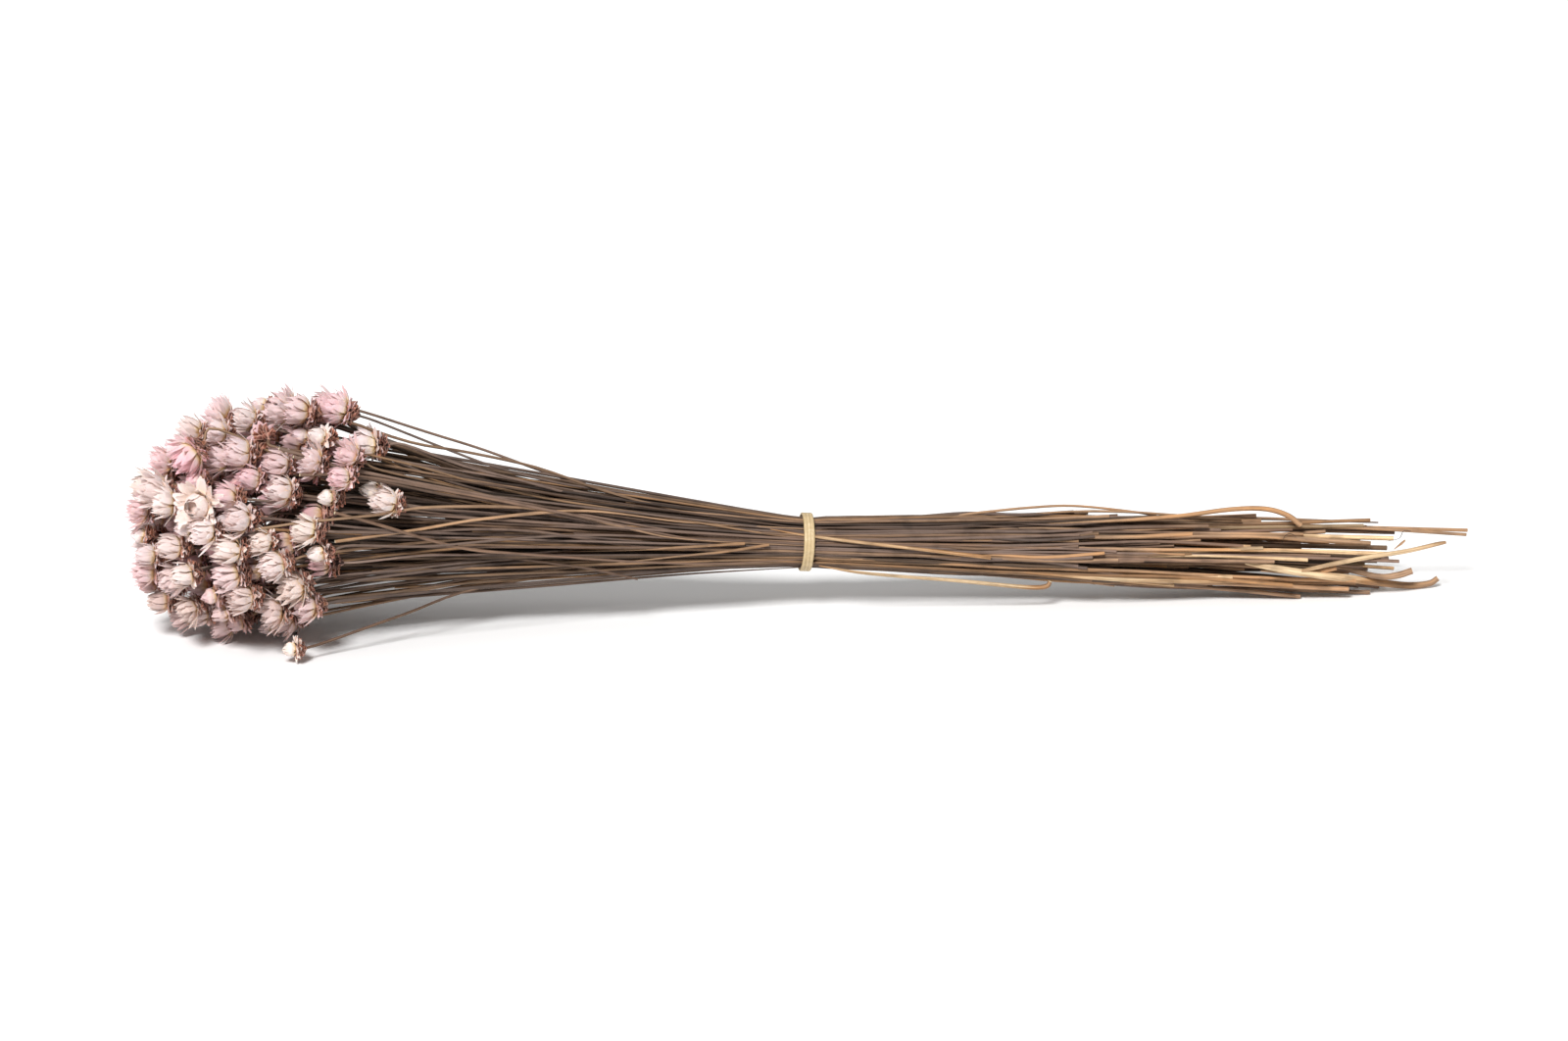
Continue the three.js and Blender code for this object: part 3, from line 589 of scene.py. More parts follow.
class Blade:
    """One bract or scale: a pointed, cupped leaf that bends along its length."""

    WIDEST = 0.5
    FOOT_WIDTH = 0.6
    RIM_ANGLE = math.radians(50)
    SPINE_STEPS = 8
    LENGTH_SPREAD = 0.12
    WIDTH_SPREAD = 0.15
    OPENS_SPREAD = 7
    ENDS_SPREAD = 12
    TWIST_SPREAD = math.radians(14)
    CUP_SPREAD = 0.3
    SWAY_SPREAD = 0.5
    SEEDS = 50

    def __init__(self, whorl: Whorl, rng: random.Random) -> None:
        """Draws the blade's own size and bend from its whorl."""
        self.whorl = whorl
        uneven = whorl.uneven
        self.length = whorl.length * (1 + self.LENGTH_SPREAD * uneven * rng.uniform(-1, 1))
        self.width = whorl.width * (1 + self.WIDTH_SPREAD * uneven * rng.uniform(-1, 1))
        self.opens = whorl.opens + self.OPENS_SPREAD * uneven * rng.uniform(-1, 1)
        self.ends = whorl.ends + self.ENDS_SPREAD * uneven * rng.uniform(-1, 1)
        self.twist = self.TWIST_SPREAD * uneven * rng.uniform(-1, 1)
        self.cup = whorl.cup * (1 + self.CUP_SPREAD * rng.uniform(-1, 1))
        self.sway = self.SWAY_SPREAD * uneven * rng.uniform(-1, 1)
        self.seed = rng.uniform(0, self.SEEDS)
        self.shade = rng.random()

    def half_width(self, along: float) -> float:
        """Half the blade's width at a share of its length."""
        if along < self.WIDEST:
            rise = math.sin(math.pi / 2 * along / self.WIDEST)
            share = self.FOOT_WIDTH + (1 - self.FOOT_WIDTH) * rise
        else:
            rest = (along - self.WIDEST) / (1 - self.WIDEST)
            share = max(self.whorl.tip, math.cos(math.pi / 2 * min(rest, 1.0)) ** self.whorl.point)
        return share * self.width / 2

    def spine(self, along: float) -> tuple[Vector, Vector]:
        """The middle line's point and the outward normal at a share of the length."""
        point = Vector((0, 0, 0))
        for k in range(self.SPINE_STEPS):
            angle = self.angle(along * (k + 0.5) / self.SPINE_STEPS)
            step = self.length * along / self.SPINE_STEPS
            point += Vector((math.sin(angle), 0, math.cos(angle))) * step
        angle = self.angle(along)
        return point, Vector((math.cos(angle), 0, -math.sin(angle)))

    def angle(self, along: float) -> float:
        """How far the blade leans off the axis at a share of its length, in radians."""
        share = min(1.0, along / self.whorl.bend)
        return math.radians(self.opens + (self.ends - self.opens) * share)

    def build(self) -> bmesh.types.BMesh:
        """Makes the blade with its foot at the origin and the flower's axis along +Z."""
        whorl = self.whorl
        bm = new_bmesh()
        grain = bm.verts.layers.float_vector["grain"]
        tone = bm.verts.layers.float_color["tone"]
        bmesh.ops.create_grid(bm, x_segments=2, y_segments=whorl.rows, size=1.0)
        low, high = whorl.along
        for vert in bm.verts:
            across = vert.co.x
            along = (vert.co.y + 1) / 2
            vert[grain] = (across, low + (high - low) * along, self.seed)
            vert[tone] = (0.0, 0.0, self.shade, 1.0)
            middle, normal = self.spine(along)
            half = self.half_width(along)
            turn = self.twist * along
            side = Vector((math.sin(turn) * normal.x, math.cos(turn), math.sin(turn) * normal.z))
            vert.co = middle + side * (across * half + self.sway * along * along)
            vert.co -= normal * (self.cup * across * across * half)
        bmesh.ops.solidify(bm, geom=bm.faces[:], thickness=whorl.thickness)
        bmesh.ops.recalc_face_normals(bm, faces=bm.faces[:])
        crease(bm, self.RIM_ANGLE)
        for face in bm.faces:
            face.material_index = whorl.part.value
        return bm


class HeadKind(Enum):
    """How far a flower has opened."""

    BUD = "bud"
    EGG = "egg"
    CUP = "cup"
    STAR = "star"
    ROSE = "rose"
    DEEP = "deep"


# each whorl's count, radius, height, length, width, lean at the foot and the tip, and unevenness
CROWNS = {
    HeadKind.BUD: (
        (6, 0.8, 1.0, 5.6, 2.5, 62, -42, 0.6),
        (8, 1.3, 0.6, 6.0, 2.4, 68, -38, 0.6),
        (10, 1.7, 0.2, 6.2, 2.3, 74, -32, 0.7),
        (8, 1.9, 0.0, 5.2, 2.1, 78, -20, 1.0),
    ),
    HeadKind.EGG: (
        (6, 0.9, 1.0, 7.6, 2.7, 62, -26, 0.7),
        (9, 1.4, 0.6, 8.4, 2.7, 68, -20, 0.7),
        (12, 1.8, 0.2, 8.8, 2.6, 78, -12, 0.8),
        (11, 2.0, 0.0, 7.6, 2.5, 86, 4, 1.4),
    ),
    HeadKind.CUP: (
        (6, 0.9, 1.0, 7.8, 2.7, 62, -14, 0.7),
        (9, 1.4, 0.6, 8.8, 2.7, 70, -6, 0.8),
        (12, 1.9, 0.2, 9.2, 2.6, 80, 4, 1.0),
        (12, 2.1, 0.0, 8.4, 2.5, 88, 22, 1.5),
    ),
    HeadKind.STAR: (
        (6, 0.9, 1.0, 7.6, 2.7, 60, -8, 0.7),
        (9, 1.4, 0.6, 8.6, 2.7, 70, 6, 0.8),
        (12, 1.9, 0.2, 9.0, 2.6, 80, 22, 1.0),
        (12, 2.1, 0.0, 8.2, 2.5, 88, 44, 1.4),
    ),
    HeadKind.DEEP: (
        (8, 1.3, 0.3, 8.2, 3.0, 62, -12, 1.0),
        (10, 2.0, 0.1, 8.4, 2.8, 74, 6, 1.2),
    ),
}


def crown_whorls(kind: HeadKind) -> list[Whorl]:
    """The whorls of pale bracts, from the inside out."""
    if kind in CROWNS:
        return [Whorl(Part.BRACT, *row, uneven=uneven) for *row, uneven in CROWNS[kind]]
    paper = (0.3, 0.8)
    return [
        Whorl(Part.BRACT, 6, 1.9, 0.6, 5.4, 3.4, 60, -18, 0.3, 0.4, 0.4, along=(0.7, 1.0), uneven=0.7),
        Whorl(Part.BRACT, 7, 2.2, 0.4, 6.0, 3.7, 66, -26, 0.3, 0.4, 0.4, along=paper, uneven=0.5),
        Whorl(Part.BRACT, 8, 2.5, 0.2, 6.3, 3.7, 74, -22, 0.3, 0.4, 0.4, along=paper, uneven=0.5),
        Whorl(Part.BRACT, 11, 2.6, 0.1, 6.2, 2.7, 90, 18, 0.4, 0.5, 0.3, along=paper, uneven=1.4),
        Whorl(Part.BRACT, 13, 2.6, 0.0, 7.2, 2.6, 94, 40, 0.4, 0.5, 0.25, along=paper, uneven=1.5),
        Whorl(Part.BRACT, 13, 2.5, -0.3, 6.8, 2.5, 98, 62, 0.4, 0.5, 0.2, along=paper, uneven=1.8),
    ]


def calyx_whorls(kind: HeadKind) -> list[Whorl]:
    """The rings of pale scales and the rows of brown ones, from the crown towards the stem."""
    bract = Part.BRACT
    rings = [
        Whorl(bract, 9, 2.1, -0.9, 3.6, 2.5, 88, 70, 0.45, 0.5, 0.25, 1.0, 3, (0.3, 0.9), uneven=1.6),
        Whorl(bract, 5, 2.3, -1.7, 3.0, 2.3, 96, 78, 0.45, 0.5, 0.3, 1.0, 3, (0.4, 1.0), uneven=1.8),
    ]
    rows = [
        (10, 2.2, -1.5, 2.6),
        (10, 2.4, -2.3, 2.6),
        (9, 2.2, -3.1, 2.5),
        (8, 1.8, -3.9, 2.3),
        (6, 1.2, -4.7, 2.0),
    ]
    if kind is HeadKind.DEEP:
        rings = rings[:1]
        rows = rows[1::2]
    slim = 0.85
    shape = {"opens": 60, "ends": 84, "cup": 0.5, "point": 0.35, "tip": 0.5, "bend": 1.0, "rows": 3}
    scales = [
        Whorl(Part.SCALE, count, radius, height, length, slim * length, uneven=2.0, **shape)
        for count, radius, height, length in rows
    ]
    return [*rings, *scales]


class HeadMaker:
    """Makes templates of whole flower heads, seat at the origin and facing +Z."""

    VARIANTS = {
        HeadKind.BUD: 3,
        HeadKind.EGG: 4,
        HeadKind.CUP: 5,
        HeadKind.STAR: 4,
        HeadKind.ROSE: 1,
        HeadKind.DEEP: 3,
    }
    CORE_RADIUS = 3.2
    CORE_LENGTH = 6.8
    CORE_SHARE = {HeadKind.ROSE: 0.35, HeadKind.BUD: 0.62}
    CORE_LIFT = 0.1
    CONE_FOOT = 0.8
    CONE_TOP = 2.7
    CONE_LENGTH = 5.2
    CONE_MIDDLE = -2.5
    SPIN_SPREAD = 0.22
    HEIGHT_SPREAD = 0.3

    def __init__(self) -> None:
        """Makes every variant of every kind."""
        rng = random.Random(11)
        self.templates = {
            kind: [self.template(kind, number, rng) for number in range(count)]
            for kind, count in self.VARIANTS.items()
        }

    def template(self, kind: HeadKind, number: int, rng: random.Random) -> bpy.types.Mesh:
        """Makes one flower head from its whorls, its core and its receptacle."""
        head = Piece(f"{kind.value}_{number}", [])
        for whorl in crown_whorls(kind) + calyx_whorls(kind):
            start = rng.uniform(0, 2 * math.pi)
            for k in range(whorl.count):
                blade = Blade(whorl, rng)
                sway = self.SPIN_SPREAD * whorl.uneven * rng.uniform(-1, 1)
                spin = start + 2 * math.pi * (k + sway) / whorl.count
                height = whorl.height + self.HEIGHT_SPREAD * rng.uniform(-1, 1)
                foot = Matrix.Translation((whorl.radius, 0, height))
                head.add_once(blade.build(), Matrix.Rotation(spin, 4, "Z") @ foot)
        self.add_core(head, kind)
        self.add_receptacle(head)
        return keep(head.bm, head.name)

    def add_core(self, head: Piece, kind: HeadKind) -> None:
        """Fills the crown with an egg of closed inner bracts, so that no light comes through it."""
        bm = new_bmesh()
        made = bmesh.ops.create_icosphere(bm, subdivisions=2, radius=1.0)["verts"]
        length = self.CORE_LENGTH * self.CORE_SHARE.get(kind, 1.0)
        bmesh.ops.scale(bm, vec=(self.CORE_RADIUS, self.CORE_RADIUS, length / 2), verts=made)
        bmesh.ops.translate(bm, vec=(0, 0, length / 2 + self.CORE_LIFT), verts=made)
        self.dress(bm, Part.BRACT, along=0.5, shade=0.2)
        head.add_once(bm, Matrix.Identity(4))

    def add_receptacle(self, head: Piece) -> None:
        """Makes the cone that carries the scales, from the stem to the seat of the crown."""
        bm = new_bmesh()
        radii = {"radius1": self.CONE_FOOT, "radius2": self.CONE_TOP}
        bmesh.ops.create_cone(bm, cap_ends=True, segments=12, depth=self.CONE_LENGTH, **radii)
        bmesh.ops.translate(bm, vec=(0, 0, self.CONE_MIDDLE), verts=bm.verts[:])
        self.dress(bm, Part.SCALE, along=0.1, shade=0.3)
        head.add_once(bm, Matrix.Identity(4))

    @staticmethod
    def dress(bm: bmesh.types.BMesh, part: Part, along: float, shade: float) -> None:
        """Gives a plain body of the head one place along a blade and one shade."""
        grain = bm.verts.layers.float_vector["grain"]
        tone = bm.verts.layers.float_color["tone"]
        for vert in bm.verts:
            vert[grain] = (math.atan2(vert.co.y, vert.co.x), along, 3.0)
            vert[tone] = (0.0, 0.0, shade, 1.0)
        for face in bm.faces:
            face.material_index = part.value


@dataclass
class Head:
    """A flower head's place: the seat of its crown and the way it faces."""

    seat: Vector
    facing: Vector
    node: str | None = None

    FOOT = 5.0
    MIDDLE = 3.5

    @property
    def foot(self) -> Vector:
        """Where the stem runs into it."""
        return self.seat - self.facing * self.FOOT

    @property
    def middle(self) -> Vector:
        """The middle of its crown."""
        return self.seat + self.facing * self.MIDDLE


class Bunch:
    """The lie of the bunch: its centre line, its flower heads and the way into the frame."""

    BAND_HEIGHT = 27.0
    RISE_TO_HEADS = 0.094
    FALL_TO_ENDS = 0.06
    SEAT_TO_HUB = 0.3
    LEAST_SPOKES = 11

    def __init__(self, nodes: dict[str, bpy.types.Object], box: tuple[Vector, Vector]) -> None:
        """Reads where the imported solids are.

        Args:
            nodes: the solids by name.
            box: the lowest and the highest corner of all of them.
        """
        low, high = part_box("rubber_band")
        middle = (low + high) / 2
        to_frame = Matrix.Translation((middle.x, middle.y, 0)) @ Matrix.Scale(MM, 4)
        self.place = Place(to_frame, *box)
        self.from_frame = to_frame.inverted()
        self.heads: list[Head] = []
        for name in sorted(nodes):
            if name.startswith("heads_"):
                self.heads += self.read_heads(name, nodes[name].data)

    def axis_height(self, x: float) -> float:
        """Height of the centre line over the surface."""
        return self.BAND_HEIGHT + (-x * self.RISE_TO_HEADS if x < 0 else -x * self.FALL_TO_ENDS)

    def point(self, x: float, offset: Vector) -> Vector:
        """The point at x with an offset (y, z) from the centre line."""
        return Vector((x, offset[0], offset[1] + self.axis_height(x)))

    def offset(self, point: Vector) -> Vector:
        """A point's offset from the centre line."""
        return Vector((point.y, point.z - self.axis_height(point.x)))

    def read_heads(self, name: str, mesh: bpy.types.Mesh) -> list[Head]:
        """Finds the crowns of one node by the two points where many edges meet, foot and top.

        Args:
            name: the node's name.
            mesh: the node's mesh, as loose triangles.

        Returns:
            One head for each crown in the node.
        """
        bm = bmesh.new()
        bm.from_mesh(mesh)
        bmesh.ops.transform(bm, matrix=self.from_frame, verts=bm.verts[:])
        bmesh.ops.remove_doubles(bm, verts=bm.verts[:], dist=1e-3)
        hubs = [v.co.copy() for v in bm.verts if len(v.link_edges) >= self.LEAST_SPOKES]
        bm.free()
        hubs.sort(key=lambda co: -co.x)
        heads = []
        while len(hubs) > 1:
            foot = hubs.pop(0)
            top = min(hubs, key=lambda co: (co - foot).length)
            hubs.remove(top)
            facing = (top - foot).normalized()
            heads.append(Head(foot - facing * self.SEAT_TO_HUB, facing, name))
        return heads


@dataclass
class InnerHeads:
    """Flowers deep in the ball, which close the view between the outer ones."""

    layers: tuple[tuple[int, float], ...] = ((46, 30.0), (18, 18.0))
    front: float = -227.0
    skirt: float = 22.0
    lean: float = 0.25
    added: tuple[tuple[float, float, float], ...] = (
        (-214.6, -38.0, 45.1),
        (-179.4, -26.0, 59.6),
        (-226.0, -10.0, 33.6),
    )
    added_way: tuple[float, float, float] = (-1.0, -0.2, 0.1)
    reach: tuple[float, float] = (0.85, 1.08)
    outermost: float = 29.0
    step_back: float = 0.4
    steepness: float = 1.7
    nod: float = 0.3

    def place(self, bunch: Bunch) -> list[Head]:
        """Spreads the inner heads over smaller balls."""
        rng = random.Random(5)
        heads = []
        for count, radius in self.layers:
            for k in range(count):
                along = (k + 0.5) / count * (radius + self.skirt)
                rest = max(0.0, 1 - along / radius)
                out = radius * math.sqrt(1 - rest * rest) * rng.uniform(*self.reach)
                angle = k * GOLDEN_ANGLE + radius
                offset = Vector((-out * math.cos(angle), out * math.sin(angle)))
                behind = (self.outermost - radius) * self.step_back
                x = self.front + behind + along + offset[1] * self.lean
                steep = self.steepness / -x
                nod = Vector((rng.uniform(-self.nod, self.nod), rng.uniform(-self.nod, self.nod)))
                way = (-1, offset[0] * steep + nod[0], offset[1] * steep + nod[1])
                heads.append(Head(bunch.point(x, offset), Vector(way).normalized()))
        for place in self.added:
            facing = Vector(self.added_way).normalized()
            heads.append(Head(Vector(place) - facing * Head.MIDDLE, facing))
        return heads


@dataclass(frozen=True)
class Chosen:
    """How the flower nearest to a place looks."""

    place: tuple[float, float, float]
    kind: HeadKind
    pink: float
    size: float = 1.0


CHOSEN = [
    Chosen((-226, -35, 61), HeadKind.ROSE, 0.12, 1.15),
    Chosen((-228, -24, 79), HeadKind.CUP, 1.0, 1.1),
    Chosen((-153, -25, 57), HeadKind.CUP, 0.15),
    Chosen((-167, -25, 61), HeadKind.BUD, 0.0, 1.1),
    Chosen((-163, -12, 74), HeadKind.EGG, 0.35, 1.15),
    Chosen((-214.6, -38, 45.1), HeadKind.CUP, 0.1, 1.05),
    Chosen((-179.4, -26, 59.6), HeadKind.BUD, 0.1, 1.0),
    Chosen((-176, 5, 84), HeadKind.STAR, 0.7),
    Chosen((-194.5, -36.5, 5.7), HeadKind.BUD, 0.0, 0.85),
]


@dataclass
class Blooms:
    """The flower heads, dressed."""

    maker: HeadMaker
    materials: list[bpy.types.Material]
    upper: float = 12.0
    painted_shade_depths: tuple[float, float] = (6.0, 36.0)
    low_painted_shade: float = 0.3
    high_pink: float = 0.5
    low_pink: float = 0.28
    pink_spread: float = 0.2
    lightness: tuple[float, float] = (0.95, 0.06)
    sizes: tuple[float, float] = (0.86, 1.08)
    widths: tuple[float, float] = (0.94, 1.04)
    deep_painted_shade: float = 0.3
    deep_mauve_painted_shade: float = 0.5
    chosen: dict[int, Chosen] = field(default_factory=dict)

    KINDS = [HeadKind.BUD, HeadKind.EGG, HeadKind.CUP, HeadKind.STAR]
    HIGH_SHARES = [1, 2, 4, 5]
    LOW_SHARES = [2, 4, 6, 2]

    def add(self, piece: Piece, head: Head, rng: random.Random, height: float) -> None:
        """Adds one flower head to a piece.

        Args:
            piece: the piece that it goes into.
            head: its place.
            rng: draws its kind, spin, size and tones.
            height: how far above the bunch's middle it is, since the open, pink ones are mostly high and
                the low ones get painted shade.
        """
        high = height > self.upper
        shares = self.HIGH_SHARES if high else self.LOW_SHARES
        kind = rng.choices(self.KINDS, weights=shares)[0]
        pink = rng.gauss(self.high_pink if high else self.low_pink, self.pink_spread)
        pink = min(1.0, max(0.0, pink))
        light = min(1.0, max(0.0, rng.gauss(*self.lightness)))
        # painted shade: heads low on the bunch are darkened
        light -= self.low_painted_shade * smooth(-height, *self.painted_shade_depths)
        size = rng.uniform(*self.sizes)
        # painted shade: the inner heads are darkened and turned pinker, towards mauve
        if head.node is None:
            kind = HeadKind.DEEP
            light -= self.deep_painted_shade
            pink += self.deep_mauve_painted_shade
        if id(head) in self.chosen:
            own = self.chosen[id(head)]
            kind = own.kind
            pink = own.pink
            size = own.size
            light = 1.0
        template = rng.choice(self.maker.templates[kind])
        turn = head.facing.to_track_quat("Z", "Y").to_matrix().to_4x4()
        spin = Matrix.Rotation(rng.uniform(0, 2 * math.pi), 4, "Z")
        wide = size * rng.uniform(*self.widths)
        shape = Matrix.Diagonal((wide, wide, size, 1))
        verts = piece.add(template, Matrix.Translation(head.seat) @ turn @ shape @ spin)
        piece.tint(verts, pink, light)

    def build(self, bunch: Bunch, inner: list[Head]) -> None:
        """Makes one piece for each CAD node of heads, and one for the inner heads."""
        rng = random.Random(23)
        for chosen in CHOSEN:
            place = Vector(chosen.place)
            nearest = min([*bunch.heads, *inner], key=lambda head: (head.middle - place).length)
            self.chosen[id(nearest)] = chosen
        names = sorted({head.node for head in bunch.heads})
        for name in names:
            piece = Piece(name.replace("heads", "blooms"), self.materials)
            for head in bunch.heads:
                if head.node == name:
                    self.add(piece, head, rng, bunch.offset(head.middle)[1])
            piece.finish(bunch.place, "bracts", [name])
        piece = Piece("inner_blooms", self.materials)
        for head in inner:
            self.add(piece, head, rng, 0.0)
        piece.finish(bunch.place, "bracts")


@dataclass
class Strand:
    """A stem's middle line from its cut end onwards, with its radius and hue along it."""

    points: list[Vector]
    radii: list[float]
    hues: list[float]
    light: float = 0.8
    pales: float = 0.9
    sides: int = 7
    hollow: bool = True
    flat: float = 1.0


def through(points: Sequence[Vector], steps: int) -> list[Vector]:
    """A smooth line through some points, with steps to each stretch."""
    padded = [points[0] * 2 - points[1], *points, points[-1] * 2 - points[-2]]
    line = []
    for a, b, c, d in zip(padded, padded[1:], padded[2:], padded[3:]):
        for k in range(steps):
            t = k / steps
            bend = (2 * a - 5 * b + 4 * c - d) * t**2
            twist = (3 * b - a - 3 * c + d) * t**3
            line.append(0.5 * (2 * b + (c - a) * t + bend + twist))
    line.append(points[-1].copy())
    return line


def spread_values(values: Sequence[float], count: int) -> list[float]:
    """Spreads a few numbers evenly over a line of count points."""
    out = []
    for k in range(count):
        place = k / (count - 1) * (len(values) - 1)
        low = min(int(place), len(values) - 2) if len(values) > 1 else 0
        high = min(low + 1, len(values) - 1)
        out.append(values[low] + (values[high] - values[low]) * (place - low))
    return out


class StemMaker:
    """Turns strands into stems: a ring is extruded from point to point and the ends are closed."""

    END_ANGLE = math.radians(62)
    SEED_STEP = 17.3
    SEED_ACROSS = 0.7
    SEED_ALONG = 31
    PALER = (60, 190)
    EDGE = 0.04
    PITH = 0.38
    HOLE = 0.1
    HOLE_DEPTH = 0.9
    # the hole's tone: painted shade, dark and without pith
    HOLE_SHADE_TONE = (0.3, 0.0, 0.0, 1.0)

    def __init__(self) -> None:
        """Starts the count that gives each stem its own grain."""
        self.made = 0

    def build(self, strand: Strand) -> bmesh.types.BMesh:
        """Makes one stem."""
        bm = new_bmesh()
        grain = bm.verts.layers.float_vector["grain"]
        tone = bm.verts.layers.float_color["tone"]
        self.made += 1
        seed = self.SEED_STEP * self.made
        points = strand.points
        ring = bmesh.ops.create_circle(bm, cap_ends=False, segments=strand.sides, radius=1.0)["verts"]
        edges = bm.edges[:]
        first_edges = edges
        before = Matrix.Identity(4)
        ahead = (points[1] - points[0]).normalized()
        turn = ahead.to_track_quat("Z", "Y")
        along = 0.0
        for k, point in enumerate(points):
            if k:
                out = bmesh.ops.extrude_edge_only(bm, edges=edges)["geom"]
                ring = [g for g in out if isinstance(g, bmesh.types.BMVert)]
                fresh = set(ring)
                drawn = [g for g in out if isinstance(g, bmesh.types.BMEdge)]
                edges = [edge for edge in drawn if all(v in fresh for v in edge.verts)]
                direction = (points[min(k + 1, len(points) - 1)] - points[k - 1]).normalized()
                turn = ahead.rotation_difference(direction) @ turn
                ahead = direction
                along += (point - points[k - 1]).length
            radius = strand.radii[k]
            size = Matrix.Diagonal((radius, radius * strand.flat, radius, 1))
            now = Matrix.Translation(point) @ turn.to_matrix().to_4x4() @ size
            bmesh.ops.transform(bm, matrix=now @ before.inverted(), verts=ring)
            before = now
            back = now.inverted()
            for vert in ring:
                local = back @ vert.co
                place = (local.x + seed, local.y + self.SEED_ACROSS * seed, along + self.SEED_ALONG * seed)
                vert[grain] = place
                light = strand.light * (1 + strand.pales * smooth(point.x, *self.PALER))
                vert[tone] = (strand.hues[k], light, 0.0, 1.0)
        self.close(bm, edges, strand, tone, False)
        self.close(bm, first_edges, strand, tone, strand.hollow)
        bmesh.ops.recalc_face_normals(bm, faces=bm.faces[:])
        crease(bm, self.END_ANGLE)
        return bm

    def close(self, bm: bmesh.types.BMesh, edges: list, strand: Strand, tone, hollow: bool) -> None:
        """Closes an end. A cut end gets a pale rim round a small hole that is painted dark as shade."""
        cap = bmesh.ops.contextual_create(bm, geom=edges)["faces"]
        if not hollow or not cap:
            return
        radius = strand.radii[0]
        bmesh.ops.inset_region(bm, faces=cap, thickness=radius * self.EDGE, depth=0.0)
        for vert in cap[0].verts:
            vert[tone] = (strand.hues[0], strand.light, 1.0, 1.0)
        bmesh.ops.inset_region(bm, faces=cap, thickness=radius * self.PITH, depth=0.0)
        deep = -radius * self.HOLE_DEPTH
        bmesh.ops.inset_region(bm, faces=cap, thickness=radius * self.HOLE, depth=deep)
        for vert in cap[0].verts:
            # painted shade inside the hollow
            vert[tone] = self.HOLE_SHADE_TONE


